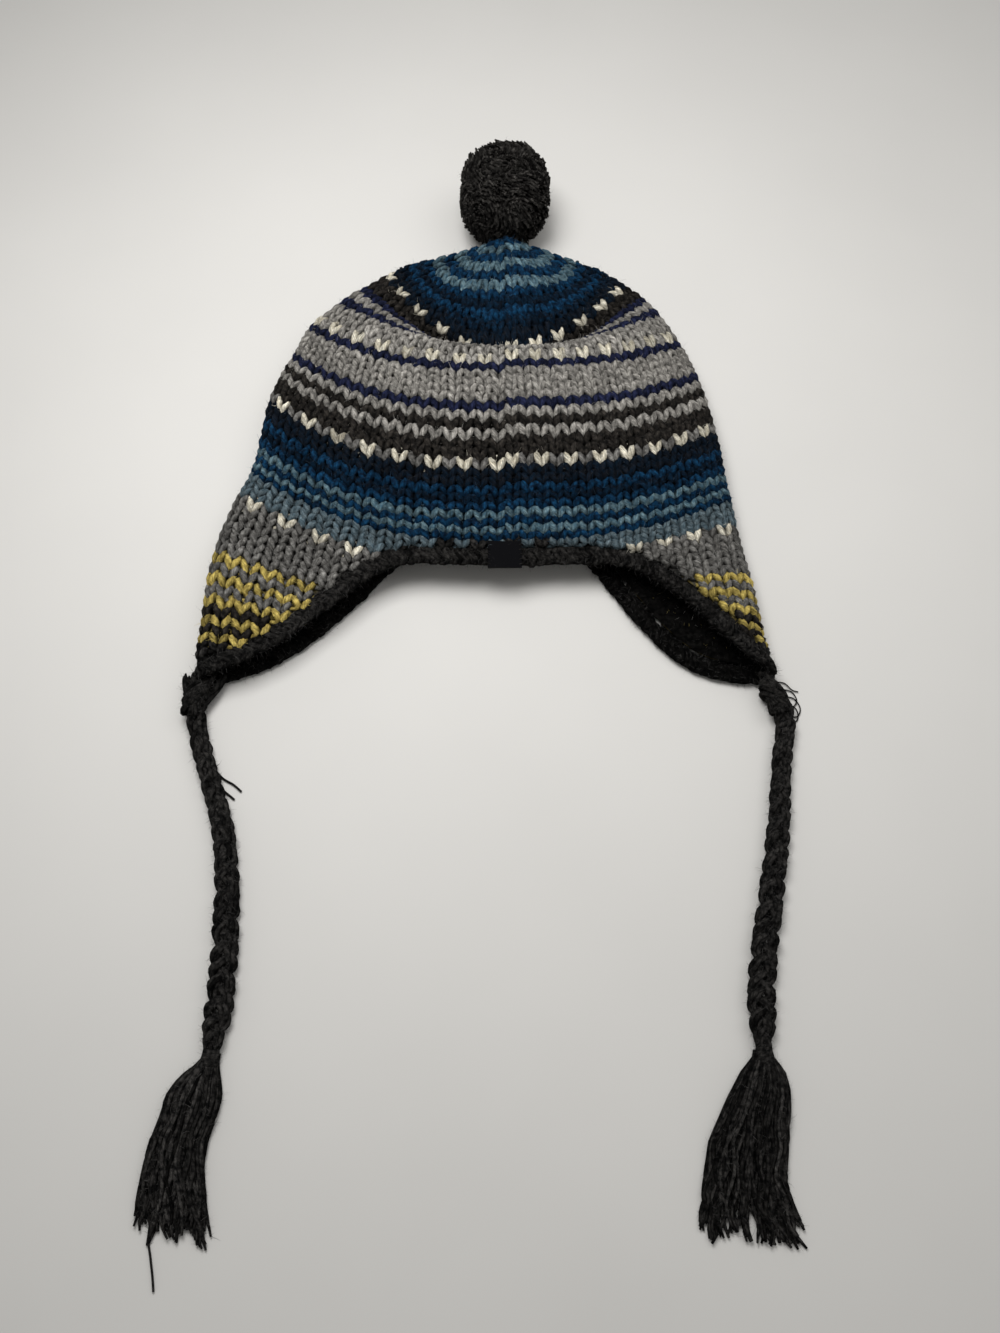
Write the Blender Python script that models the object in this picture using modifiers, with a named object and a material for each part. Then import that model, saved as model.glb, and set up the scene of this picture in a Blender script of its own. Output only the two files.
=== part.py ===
"""Knitted ear-flap hat (chullo) lying flat on its front, in metres, +Z up.

The crown points along +Y and the ties lie along -Y. The hat body is one hollow
knitted wall. A place on it is given by a column (stitches round the hat, 0 at the
centre back) and a row (knitted rows down from the crown), and the table ROUNDS
says where the rows lie.
"""
import math
from collections import namedtuple

import bmesh
import bpy
from mathutils import Matrix, Vector

# Sizes of the knitted body
HALF_WIDTH = 0.125
CROWN_LENGTH = 0.200
LOFT = 0.037
FOLD_HEIGHT = 0.010
FOLD_LEAST = 0.35
KNIT_WALL = 0.0045
COLUMNS = 64.0
QUARTER = COLUMNS / 4
HEM_ROW = 42.0
UNDER_LENGTH = 0.180
CROWN_LIFT = 0.007
CROWN_LIFT_ROWS = 6.0
SECTION_STEPS = 64
LEAST_FLATNESS = 2.3
FOLD_RADIUS = 0.0065
KNIT_ROWS = (1.2, 3.0, 5.0, 7.0, 9.0, 10.5, 12.0, 13.0, 14.0, 15.0, 16.5, 18.0,
             19.5, 22.0, 25.0, 28.0, 31.0, 34.0, 37.0, 39.5, HEM_ROW)
QUARTER_PARTS = 13
FOLD_CROWDING = 1.5
NORMAL_STEP = 0.05
HEM_STEP = 0.2

# Sizes of the pieces on it
GAP = 0.0003
TRIM_GAP = 0.0009
TRIM_WIDTH = 0.0082
TRIM_WALL = 0.0060
LABEL_WIDTH = 0.0195
LABEL_WALL = 0.0008
LABEL_REACH_ROWS = 1.0
LABEL_TURN_IN = 0.0070
POMPOM_WIDTH = 0.0520
POMPOM_LENGTH = 0.0575
POMPOM_HEIGHT = 0.0500
POMPOM_SEAT = 0.0006
BALL_SEGMENTS = 16
BALL_RINGS = 10
TUFT_SIZE = 0.0170
TUFT_END_SIZE = 0.0097
TUFT_RISE = 0.0020
TUFT_DEPTH = 0.0080
TUFT_SIDES = 7
TUFT_BARE = 0.65
ROOT_WIDTH = 0.0155
ROOT_HEIGHT = 0.0135
FLAP_END_REACH = 3.0
FLAP_END_PARTS = 12
TIE_DIAMETER = 0.0105
TIE_POINTS = 40
TIE_ARC_PARTS = 2
ROUTE_PARTS = 12
WRAP_DIAMETER = 0.0094
WRAP_LENGTH = 0.0070
WRAP_SIDES = 12
SHARP_ANGLE = math.radians(40)
TASSEL_LENGTH = 0.0680
TASSEL_HEAD = 0.0110
TASSEL_HEAD_WIDTH = 0.0127
LOCK_DIAMETER = 0.0068
LOCK_LOWEST = 0.42
LOCK_ARC_PARTS = 1

# Rows of the body: half widths as shares of HALF_WIDTH, places down from the crown as
# shares of CROWN_LENGTH, heights as shares of LOFT. Sag is the power of the curve
# that a row makes between fold and middle, and dip is the crease below the crown.
Round = namedtuple(
    "Round", "row left right left_down right_down left_mid right_mid sag rise dip")
ROUNDS = (
    Round(0.0, 0.030, 0.030, 0.005, 0.005, 0.015, 0.015, 1.6, 0.56, 0.00),
    Round(3.0, 0.165, 0.175, 0.016, 0.020, 0.132, 0.132, 1.6, 0.82, 0.00),
    Round(6.0, 0.315, 0.324, 0.045, 0.060, 0.252, 0.252, 1.6, 0.97, 0.00),
    Round(9.0, 0.425, 0.440, 0.070, 0.098, 0.350, 0.350, 1.6, 1.00, 0.03),
    Round(12.0, 0.529, 0.545, 0.108, 0.150, 0.445, 0.445, 1.6, 0.98, 0.20),
    Round(14.0, 0.605, 0.602, 0.143, 0.186, 0.455, 0.455, 1.7, 0.98, 0.48),
    Round(16.0, 0.688, 0.655, 0.182, 0.227, 0.443, 0.443, 1.9, 0.98, 0.26),
    Round(18.0, 0.768, 0.706, 0.228, 0.281, 0.446, 0.446, 2.2, 0.99, 0.02),
    Round(20.0, 0.834, 0.750, 0.270, 0.335, 0.492, 0.492, 2.6, 1.00, 0.00),
    Round(26.0, 0.920, 0.828, 0.386, 0.464, 0.634, 0.634, 2.7, 1.00, 0.00),
    Round(32.0, 0.998, 0.882, 0.509, 0.626, 0.795, 0.795, 2.8, 0.92, 0.00),
    Round(38.0, 1.035, 0.910, 0.681, 0.770, 0.918, 0.918, 2.8, 0.72, 0.00),
    Round(42.0, 1.066, 0.930, 0.758, 0.850, 0.985, 0.985, 2.5, 0.58, 0.00),
    Round(45.0, 1.111, 0.945, 0.818, 0.906, 1.020, 1.000, 2.2, 0.53, 0.00),
    Round(51.0, 1.182, 0.985, 0.978, 1.040, 1.110, 1.050, 2.0, 0.52, 0.00),
    Round(57.0, 1.198, 1.010, 1.145, 1.165, 1.205, 1.060, 2.0, 0.52, 0.00),
    Round(62.0, 1.206, 1.034, 1.280, 1.272, 1.305, 1.170, 2.0, 0.48, 0.00),
)

# Edge of the ear flaps: half widths in stitches from the fold, on both layers
Edge = namedtuple("Edge", "row left_top left_under right_top right_under")
EDGES = (
    Edge(62.0, 0.0, 0.0, 0.0, 0.0),
    Edge(61.0, 1.5, 1.6, 1.0, 2.2),
    Edge(59.0, 3.4, 3.6, 1.9, 4.4),
    Edge(55.0, 5.6, 5.8, 3.2, 6.2),
    Edge(51.0, 7.2, 7.5, 4.7, 7.6),
    Edge(46.0, 8.7, 9.0, 6.7, 9.2),
    Edge(43.0, 10.4, 10.6, 9.2, 10.5),
    Edge(42.0, 12.6, 12.6, 11.8, 12.4),
)

# Routes of the ties as laid down, as places measured from the ends of the flaps
TIE_BENDS_LEFT = (
    (-0.0005, -0.0104), (0.0002, -0.0164), (0.0018, -0.0239), (0.0054, -0.0345),
    (0.0101, -0.0478), (0.0149, -0.0603), (0.0191, -0.0749), (0.0221, -0.0921),
    (0.0236, -0.1101), (0.0243, -0.1276), (0.0242, -0.1447), (0.0233, -0.1589),
    (0.0223, -0.1679),
)
TIE_BENDS_RIGHT = (
    (0.0062, -0.0123), (0.0073, -0.0182), (0.0067, -0.0257), (0.0041, -0.0388),
    (0.0017, -0.0548), (-0.0005, -0.0708), (-0.0040, -0.0887), (-0.0087, -0.1108),
    (-0.0125, -0.1278), (-0.0152, -0.1447), (-0.0162, -0.1578), (-0.0163, -0.1688),
)

# Locks of a tassel: ends sideways and along as shares of TASSEL_LENGTH, height of the
# middle in lock diameters, and thickness as a share of LOCK_DIAMETER
Lock = namedtuple("Lock", "across reach height thick")
TASSEL_LOCKS_LEFT = (
    Lock(-0.330, 0.985, 0.55, 1.00), Lock(-0.245, 1.020, 0.58, 1.05),
    Lock(-0.150, 1.000, 0.60, 1.10), Lock(-0.055, 0.975, 0.60, 1.10),
    Lock(0.045, 0.985, 0.60, 1.05), Lock(0.135, 0.965, 0.55, 1.00),
    Lock(-0.200, 0.940, 1.30, 1.00), Lock(-0.100, 0.960, 1.42, 1.05),
    Lock(0.000, 0.930, 1.40, 1.00), Lock(0.085, 0.900, 1.25, 0.95),
)
TASSEL_LOCKS_RIGHT = (
    Lock(-0.450, 0.910, 0.50, 0.80), Lock(-0.285, 0.760, 0.55, 0.85),
    Lock(-0.110, 0.985, 0.58, 1.00), Lock(-0.020, 0.995, 0.60, 1.05),
    Lock(0.075, 0.990, 0.60, 1.05), Lock(0.200, 0.930, 0.52, 0.90),
    Lock(-0.180, 0.800, 1.20, 0.90), Lock(-0.050, 0.930, 1.42, 1.00),
    Lock(0.050, 0.940, 1.38, 1.00), Lock(0.125, 0.880, 1.20, 0.90),
)

# Places along a lock: along and sideways as shares of its end's, height as a share of
# the lock's own, and thickness as a share of its diameter
Station = namedtuple("Station", "along spread height thick")
LOCK_STATIONS = (
    Station(0.04, 0.10, 0.75, 0.72), Station(0.22, 0.50, 1.00, 0.95),
    Station(0.45, 0.78, 0.85, 1.05), Station(0.70, 0.95, 0.60, 0.95),
    Station(1.00, 1.00, 0.25, 0.55),
)

# Rings of tufts on the pompom: latitude in degrees, tufts in the ring, and the ring's
# turn as a share of the step between two tufts
TuftRing = namedtuple("TuftRing", "latitude count shift")
TUFT_RINGS = (
    TuftRing(-90.0, 1, 0.0), TuftRing(-54.0, 6, 0.0), TuftRing(-18.0, 9, 0.5),
    TuftRing(18.0, 9, 0.0), TuftRing(54.0, 6, 0.5), TuftRing(90.0, 1, 0.0),
)

BLUE_WOOL = (0.030, 0.105, 0.190, 1.0)
CHARCOAL_WOOL = (0.033, 0.032, 0.034, 1.0)
GREY_POMPOM = (0.050, 0.048, 0.047, 1.0)
BLACK_WEAVE = (0.012, 0.012, 0.014, 1.0)
WOOL_ROUGHNESS = 0.95
WEAVE_ROUGHNESS = 0.70


def clear_scene():
    for item in list(bpy.data.objects):
        bpy.data.objects.remove(item, do_unlink=True)


def new_collection(name):
    group = bpy.data.collections.new(name)
    bpy.context.scene.collection.children.link(group)
    return group


def new_material(name, colour, roughness):
    material = bpy.data.materials.new(name)
    material.use_nodes = True
    shader = material.node_tree.nodes["Principled BSDF"]
    shader.inputs["Base Color"].default_value = colour
    shader.inputs["Roughness"].default_value = roughness
    shader.inputs["Metallic"].default_value = 0.0
    return material


def new_object(name, mesh, group, material, smooth=True):
    item = bpy.data.objects.new(name, mesh)
    group.objects.link(item)
    mesh.materials.append(material)
    if smooth:
        mesh.shade_smooth()
    return item


def value_at(table, field, place, key="row"):
    """A column of a table read where its key column has a value, on a smooth curve."""
    keys = [getattr(line, key) for line in table]
    values = [getattr(line, field) for line in table]
    rates = [(values[i + 1] - values[i]) / (keys[i + 1] - keys[i]) for i in range(len(keys) - 1)]
    if place <= keys[0]:
        return values[0]
    if place >= keys[-1]:
        return values[-1] + rates[-1] * (place - keys[-1])
    i = 0
    while keys[i + 1] < place:
        i += 1
    span = keys[i + 1] - keys[i]
    rate_in = rates[i] if i == 0 else 0.5 * (rates[i] + rates[i - 1])
    rate_out = rates[i] if i + 2 == len(keys) else 0.5 * (rates[i] + rates[i + 1])
    s = (place - keys[i]) / span
    return (values[i] * (1 + 2 * s) * (1 - s) ** 2
            + values[i + 1] * s * s * (3 - 2 * s)
            + span * rate_in * s * (1 - s) ** 2
            + span * rate_out * s * s * (s - 1))


def section_point(half, rise, fold, share):
    """Place at a share of the length from the middle of one layer to its side fold.

    The layer is flat in the middle and ends in a fold of about FOLD_RADIUS.
    """
    flatness = max(LEAST_FLATNESS, 2 * half * FOLD_RADIUS / (rise - fold) ** 2)
    points = []
    for step in range(SECTION_STEPS + 1):
        angle = 0.5 * math.pi * step / SECTION_STEPS
        points.append((half * math.sin(angle) ** (2 / flatness),
                       fold + (rise - fold) * max(math.cos(angle), 0.0)))
    lengths = [math.dist(a, b) for a, b in zip(points, points[1:])]
    left = share * sum(lengths)
    for (a, b), length in zip(zip(points, points[1:]), lengths):
        if left <= length:
            part = left / length
            return a[0] + (b[0] - a[0]) * part, a[1] + (b[1] - a[1]) * part
        left -= length
    return points[-1]


def side_of(column):
    """Side name, sign of X, layer name, and share of the way from middle to fold."""
    column = column % COLUMNS
    right = column < 2 * QUARTER
    share = (column if right else COLUMNS - column) / QUARTER
    on_top = share <= 1.0
    return ("right" if right else "left", 1.0 if right else -1.0,
            "top" if on_top else "under", share if on_top else 2.0 - share)


def cloth_point(column, row):
    """Middle of the knitted wall at a column and row."""
    side, sign, layer, share = side_of(column)
    half = HALF_WIDTH * value_at(ROUNDS, side, row)
    fold_down = CROWN_LENGTH * value_at(ROUNDS, side + "_down", row)
    rise_share = value_at(ROUNDS, "rise", row)
    lift = CROWN_LIFT * max(0.0, 1 - row / CROWN_LIFT_ROWS) ** 2
    fold = KNIT_WALL / 2 + lift + FOLD_HEIGHT * (FOLD_LEAST + (1 - FOLD_LEAST) * rise_share)
    if layer == "top":
        x, z = section_point(half, LOFT * rise_share, fold, share)
        z -= LOFT * value_at(ROUNDS, "dip", row) * (1 - share * share) ** 2
        mid_down = CROWN_LENGTH * value_at(ROUNDS, side + "_mid", row)
    else:
        x, z = section_point(half, KNIT_WALL / 2 + lift, fold, share)
        mid_down = UNDER_LENGTH * row / HEM_ROW
    down = fold_down + (mid_down - fold_down) * (1 - share ** value_at(ROUNDS, "sag", row))
    return Vector((sign * x, -down, z))


def hem_row(column):
    """Last knitted row in a column: the hem, or the slanting edge of an ear flap."""
    side, _, layer, share = side_of(column)
    from_fold = (1.0 - share) * QUARTER
    field = side + "_" + layer
    if from_fold >= getattr(EDGES[-1], field):
        return HEM_ROW
    return value_at(EDGES, "row", from_fold, field)


def cloth_columns():
    """Columns all round, closer together near the side folds."""
    offsets = [QUARTER * (step / QUARTER_PARTS) ** FOLD_CROWDING
               for step in range(QUARTER_PARTS + 1)]
    right = [QUARTER - offset for offset in reversed(offsets)]
    right += [QUARTER + offset for offset in offsets[1:]]
    left = [column + 2 * QUARTER for column in right[1:-1]]
    return right + left


def crown_pole():
    """Where the rows close under the pompom."""
    return cloth_point(0.0, 0.0).lerp(cloth_point(2 * QUARTER, 0.0), 0.5)


def cloth_normal(column, row):
    """Outward direction of the wall."""
    around = cloth_point(column + NORMAL_STEP, row) - cloth_point(column - NORMAL_STEP, row)
    down = cloth_point(column, row + NORMAL_STEP) - cloth_point(column, row - NORMAL_STEP)
    return down.cross(around).normalized()


def make_knit_body(group, material):
    """Open knitted surface from crown to hem, given its wall by Solidify."""
    columns = cloth_columns()
    build = bmesh.new()
    pole = build.verts.new(crown_pole())
    rings = []
    for row in KNIT_ROWS:
        rings.append([build.verts.new(cloth_point(column, row * hem_row(column) / HEM_ROW))
                      for column in columns])
    count = len(columns)
    for place in range(count):
        build.faces.new((pole, rings[0][place], rings[0][(place + 1) % count]))
    for upper, lower in zip(rings, rings[1:]):
        for place in range(count):
            after = (place + 1) % count
            build.faces.new((upper[place], lower[place], lower[after], upper[after]))
    bmesh.ops.recalc_face_normals(build, faces=build.faces)
    mesh = bpy.data.meshes.new("knit_body")
    build.to_mesh(mesh)
    build.free()
    body = new_object("knit_body", mesh, group, material)
    wall = body.modifiers.new("Wall", 'SOLIDIFY')
    wall.thickness = KNIT_WALL
    wall.offset = 0.0
    wall.use_quality_normals = True
    return body


def hem_frame(column):
    """Hem point with the directions along the hem, out of the cloth's face and past its edge."""
    middle = cloth_point(column, hem_row(column))
    before = cloth_point(column - HEM_STEP, hem_row(column - HEM_STEP))
    after = cloth_point(column + HEM_STEP, hem_row(column + HEM_STEP))
    along = (after - before).normalized()
    face = cloth_normal(column, hem_row(column))
    past = along.cross(face).normalized()
    inner = cloth_point(column, hem_row(column) - 1.0)
    if past.dot(middle - inner) < 0:
        past.negate()
    return middle, face, past


def make_edge_trim(group, material):
    """Crocheted edge all round the hem and the flaps: a band set past the knitted edge."""
    shift = (TRIM_WALL - KNIT_WALL) / 2
    build = bmesh.new()
    lines = []
    for column in cloth_columns():
        middle, face, past = hem_frame(column)
        base = middle - face * shift
        lines.append([build.verts.new(base + past * (TRIM_GAP + TRIM_WIDTH * share))
                      for share in (0.0, 0.5, 1.0)])
    for line, after in zip(lines, lines[1:] + lines[:1]):
        for place in range(2):
            build.faces.new((line[place], line[place + 1], after[place + 1], after[place]))
    bmesh.ops.recalc_face_normals(build, faces=build.faces)
    mesh = bpy.data.meshes.new("edge_trim")
    build.to_mesh(mesh)
    build.free()
    trim = new_object("edge_trim", mesh, group, material)
    wall = trim.modifiers.new("Wall", 'SOLIDIFY')
    wall.thickness = TRIM_WALL
    wall.offset = 0.0
    wall.use_quality_normals = True
    return trim


def label_path(column):
    """Places of the label in one column: over the edge trim, round it and back underneath."""
    outer = KNIT_WALL / 2 + GAP + LABEL_WALL / 2
    inner = outer - TRIM_WALL - 2 * GAP - LABEL_WALL
    edge = TRIM_GAP + TRIM_WIDTH + GAP + LABEL_WALL / 2
    middle, face, past = hem_frame(column)
    start_row = HEM_ROW - LABEL_REACH_ROWS
    start = cloth_point(column, start_row) + cloth_normal(column, start_row) * (outer + GAP)
    steps = ((outer + GAP / 2, 0.0), (outer, edge), (inner, edge), (inner, edge - LABEL_TURN_IN))
    return [start] + [middle + face * up + past * out for up, out in steps]


def make_label(group, material):
    """Small woven label folded over the edge at the middle of the back."""
    beside = cloth_columns()[1]
    middle_path = label_path(0.0)
    build = bmesh.new()
    paths = []
    for side_path in (label_path(-beside), label_path(beside)):
        share = LABEL_WIDTH / 2 / (side_path[0] - middle_path[0]).length
        paths.append([a.lerp(b, share) for a, b in zip(middle_path, side_path)])
    paths.insert(1, middle_path)
    lines = [[build.verts.new(point) for point in path] for path in paths]
    for line, after in zip(lines, lines[1:]):
        for place in range(len(line) - 1):
            build.faces.new((line[place], line[place + 1], after[place + 1], after[place]))
    mesh = bpy.data.meshes.new("label")
    build.to_mesh(mesh)
    build.free()
    label = new_object("label", mesh, group, material, smooth=False)
    wall = label.modifiers.new("Wall", 'SOLIDIFY')
    wall.thickness = LABEL_WALL
    wall.offset = 0.0
    wall.use_even_offset = True
    return label


def joined(base, piece, name, cutters):
    """Base with a piece fused to it by a Boolean union, as a new mesh."""
    cutters.objects.link(piece)
    piece.hide_render = True
    piece.display_type = 'WIRE'
    union = base.modifiers.new("Union", 'BOOLEAN')
    union.operation = 'UNION'
    union.solver = 'EXACT'
    union.object = piece
    depsgraph = bpy.context.evaluated_depsgraph_get()
    fused = bpy.data.meshes.new_from_object(base.evaluated_get(depsgraph))
    fused.name = name
    base.modifiers.remove(union)
    base.data = fused
    bpy.data.objects.remove(piece, do_unlink=True)


def round_mesh(name, size):
    """Mesh of a ball scaled to a size."""
    build = bmesh.new()
    bmesh.ops.create_uvsphere(build, u_segments=BALL_SEGMENTS, v_segments=BALL_RINGS,
                              radius=0.5, matrix=Matrix.Diagonal((*size, 1.0)))
    mesh = bpy.data.meshes.new(name)
    build.to_mesh(mesh)
    build.free()
    return mesh


def make_pompom(group, cutters, material):
    """Ball of cut yarn: a core with blunt tufts fused all over it but where it meets the crown."""
    core_size = (POMPOM_WIDTH - 2 * TUFT_RISE, POMPOM_LENGTH - 2 * TUFT_RISE,
                 POMPOM_HEIGHT - 2 * TUFT_RISE)
    crown = crown_pole()
    below = (POMPOM_HEIGHT / 2 - crown.z) / (core_size[2] / 2)
    reach = core_size[1] / 2 * math.sqrt(1 - below * below)
    centre = Vector((0.0, crown.y + KNIT_WALL / 2 + POMPOM_SEAT + reach, POMPOM_HEIGHT / 2))
    pompom = new_object("pompom", round_mesh("pompom", core_size), group, material, False)
    for ring in TUFT_RINGS:
        latitude = math.radians(ring.latitude)
        for place in range(ring.count):
            turn = 2 * math.pi * (place + ring.shift) / ring.count
            out = Vector((math.cos(latitude) * math.cos(turn),
                          math.cos(latitude) * math.sin(turn), math.sin(latitude)))
            if out.y > -TUFT_BARE:
                add_tuft(pompom, out, core_size, cutters)
    pompom.data.materials.clear()
    pompom.data.materials.append(material)
    pompom.data.shade_smooth()
    pompom.location = centre
    return pompom


def add_tuft(pompom, out, core_size, cutters):
    """One blunt tuft, from inside the core to just past its skin."""
    skin = Vector((out.x * core_size[0], out.y * core_size[1], out.z * core_size[2])) / 2
    build = bmesh.new()
    bmesh.ops.create_cone(build, cap_ends=True, segments=TUFT_SIDES, radius1=TUFT_SIZE / 2,
                          radius2=TUFT_END_SIZE / 2, depth=TUFT_DEPTH)
    turn = Vector((0.0, 0.0, 1.0)).rotation_difference(out).to_matrix().to_4x4()
    place = Matrix.Translation(skin + out * (TUFT_RISE - TUFT_DEPTH / 2))
    bmesh.ops.transform(build, matrix=place @ turn, verts=build.verts)
    mesh = bpy.data.meshes.new("tuft")
    build.to_mesh(mesh)
    build.free()
    joined(pompom, bpy.data.objects.new("tuft", mesh), "pompom", cutters)


def flap_end(column):
    """Place where the trim reaches lowest along Y, round the flap folded at a column."""
    places = []
    for step in range(FLAP_END_PARTS + 1):
        offset = FLAP_END_REACH * (2 * step / FLAP_END_PARTS - 1)
        middle, _, past = hem_frame(column + offset)
        places.append(middle + past * (TRIM_GAP + TRIM_WIDTH))
    return min(places, key=lambda place: place.y)


def make_tie_root(name, column, route, group, material):
    """Wrapped yarn where a tie is sewn to the tip of its flap, from the trim to the tie."""
    end = flap_end(column)
    start = route[0]
    length = end.y - start.y - 2 * GAP
    root = new_object(name, round_mesh(name, (ROOT_WIDTH, length, ROOT_HEIGHT)),
                      group, material)
    root.location = ((end.x + start.x) / 2, (end.y + start.y) / 2, GAP + ROOT_HEIGHT / 2)
    return root


def tie_route(column, bends):
    """Places that a tie lies through on the surface, from the end of its flap's root."""
    end = flap_end(column)
    return [Vector((end.x + across, end.y + along)) for across, along in bends]


def smooth_route(route, count):
    """Evenly spaced points on a smooth curve through the route's own points."""
    ends = [2 * route[0] - route[1]] + route + [2 * route[-1] - route[-2]]
    fine = []
    for place in range(1, len(ends) - 2):
        a, b, c, d = ends[place - 1:place + 3]
        for part in range(ROUTE_PARTS):
            s = part / ROUTE_PARTS
            fine.append(0.5 * (2 * b + (c - a) * s + (2 * a - 5 * b + 4 * c - d) * s * s
                               + (3 * b - a - 3 * c + d) * s ** 3))
    fine.append(route[-1])
    total = sum((b - a).length for a, b in zip(fine, fine[1:]))
    even = [fine[0]]
    run = 0.0
    for a, b in zip(fine, fine[1:]):
        length = (b - a).length
        while len(even) < count - 1 and run + length >= total * len(even) / (count - 1):
            part = (total * len(even) / (count - 1) - run) / length
            even.append(a.lerp(b, part))
        run += length
    return even + [fine[-1]]


def make_tie(name, route, group, material):
    """Braided tie as laid on the surface, as a plain tube."""
    curve = bpy.data.curves.new(name, 'CURVE')
    curve.dimensions = '3D'
    curve.bevel_depth = TIE_DIAMETER / 2
    curve.bevel_resolution = TIE_ARC_PARTS
    curve.use_fill_caps = True
    curve.materials.append(material)
    points = smooth_route(route, TIE_POINTS)
    spline = curve.splines.new('POLY')
    spline.points.add(len(points) - 1)
    for target, point in zip(spline.points, points):
        target.co = (point.x, point.y, TIE_DIAMETER / 2 + GAP, 1.0)
    tie = bpy.data.objects.new(name, curve)
    group.objects.link(tie)
    return tie


def end_frame(route):
    """End of a tie, with its heading and the direction to its right, on the surface."""
    end = route[-1].to_3d()
    heading = (end - route[-2].to_3d()).normalized()
    return end, heading, Vector((-heading.y, heading.x, 0.0))


def make_wrap(name, route, group, material):
    """Yarn wound round the end of a tie, above its tassel."""
    end, heading, _ = end_frame(route)
    build = bmesh.new()
    bmesh.ops.create_cone(build, cap_ends=True, segments=WRAP_SIDES,
                          radius1=WRAP_DIAMETER / 2, radius2=WRAP_DIAMETER / 2,
                          depth=WRAP_LENGTH)
    mesh = bpy.data.meshes.new(name)
    build.to_mesh(mesh)
    build.free()
    wrap = new_object(name, mesh, group, material)
    mesh.set_sharp_from_angle(angle=SHARP_ANGLE)
    wrap.rotation_euler = heading.to_track_quat('Z', 'Y').to_euler()
    wrap.location = (end + heading * (GAP + WRAP_LENGTH / 2)
                     + Vector((0.0, 0.0, WRAP_DIAMETER / 2 + GAP)))
    return wrap


def lock_object(root, heading, right, lock):
    """One lock of a tassel as a mesh: thin at both ends, laid from the head to its own end."""
    diameter = LOCK_DIAMETER * lock.thick
    low = diameter * LOCK_LOWEST
    high = max(LOCK_DIAMETER * lock.height, low)
    curve = bpy.data.curves.new("lock", 'CURVE')
    curve.dimensions = '3D'
    curve.bevel_depth = diameter / 2
    curve.bevel_resolution = LOCK_ARC_PARTS
    curve.use_fill_caps = True
    spline = curve.splines.new('POLY')
    spline.points.add(len(LOCK_STATIONS) - 1)
    for point, station in zip(spline.points, LOCK_STATIONS):
        place = (root + heading * (TASSEL_LENGTH * lock.reach * station.along)
                 + right * (TASSEL_LENGTH * lock.across * station.spread * station.along))
        point.co = (place.x, place.y, low + GAP + (high - low) * station.height, 1.0)
        point.radius = station.thick
    source = bpy.data.objects.new("lock", curve)
    bpy.context.scene.collection.objects.link(source)
    depsgraph = bpy.context.evaluated_depsgraph_get()
    mesh = bpy.data.meshes.new_from_object(source.evaluated_get(depsgraph))
    bpy.data.objects.remove(source, do_unlink=True)
    build = bmesh.new()
    build.from_mesh(mesh)
    bmesh.ops.remove_doubles(build, verts=build.verts, dist=0.00001)
    build.to_mesh(mesh)
    build.free()
    return bpy.data.objects.new("lock", mesh)


def make_tassel(name, route, locks, group, cutters, material):
    """Tassel laid on the surface: a round head with its locks fused to it."""
    end, heading, right = end_frame(route)
    head = end + heading * (2 * GAP + WRAP_LENGTH + TASSEL_HEAD / 2)
    lift = Vector((0.0, 0.0, TASSEL_HEAD / 2 + GAP))
    mesh = round_mesh(name, (TASSEL_HEAD_WIDTH, TASSEL_HEAD, TASSEL_HEAD))
    turn = Matrix.Rotation(math.atan2(heading.y, heading.x) - math.pi / 2, 4, 'Z')
    mesh.transform(Matrix.Translation(head + lift) @ turn)
    tassel = new_object(name, mesh, group, material, False)
    for lock in locks:
        joined(tassel, lock_object(head, heading, right, lock), name, cutters)
    tassel.data.materials.clear()
    tassel.data.materials.append(material)
    return tassel


def stand_on_centre(pieces):
    """Move all so that the hat without its ties stands centred on the origin."""
    bpy.context.view_layer.update()
    depsgraph = bpy.context.evaluated_depsgraph_get()
    corners = []
    for piece in pieces:
        shown = piece.evaluated_get(depsgraph)
        corners += [shown.matrix_world @ vertex.co for vertex in shown.data.vertices]
    low = Vector(min(corner[axis] for corner in corners) for axis in range(3))
    high = Vector(max(corner[axis] for corner in corners) for axis in range(3))
    middle = (low + high) / 2
    frame = bpy.data.objects.new("hat_frame", None)
    bpy.context.scene.collection.objects.link(frame)
    frame.location = (-middle.x, -middle.y, -low.z)
    return frame


def main():
    clear_scene()
    group = new_collection("knitted_hat")
    cutters = new_collection("cutters")
    blue = new_material("blue_wool", BLUE_WOOL, WOOL_ROUGHNESS)
    charcoal = new_material("charcoal_wool", CHARCOAL_WOOL, WOOL_ROUGHNESS)
    grey = new_material("grey_pompom_yarn", GREY_POMPOM, WOOL_ROUGHNESS)
    weave = new_material("black_weave", BLACK_WEAVE, WEAVE_ROUGHNESS)

    left_route = tie_route(3 * QUARTER, TIE_BENDS_LEFT)
    right_route = tie_route(QUARTER, TIE_BENDS_RIGHT)
    hat = [
        make_knit_body(group, blue),
        make_edge_trim(group, charcoal),
        make_label(group, weave),
        make_pompom(group, cutters, grey),
        make_tie_root("tie_root_left", 3 * QUARTER, left_route, group, charcoal),
        make_tie_root("tie_root_right", QUARTER, right_route, group, charcoal),
    ]
    ties = [
        make_tie("tie_left", left_route, group, charcoal),
        make_tie("tie_right", right_route, group, charcoal),
        make_wrap("tie_wrap_left", left_route, group, charcoal),
        make_wrap("tie_wrap_right", right_route, group, charcoal),
        make_tassel("tassel_left", left_route, TASSEL_LOCKS_LEFT, group, cutters, charcoal),
        make_tassel("tassel_right", right_route, TASSEL_LOCKS_RIGHT, group, cutters, charcoal),
    ]
    frame = stand_on_centre(hat)
    for piece in hat + ties:
        piece.parent = frame
    bpy.context.view_layer.update()


if __name__ == "__main__":
    main()
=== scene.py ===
"""Striped knitted ear-flap hat lying on a pale table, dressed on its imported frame.

Every knitted row is a real looped yarn. A place on the hat is given by a column
(stitches round the hat, 0 at the centre back) and a row (knitted rows down from the
crown), and the tables ROUNDS and EDGES say where the rows lie and where they end.
"""

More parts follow.
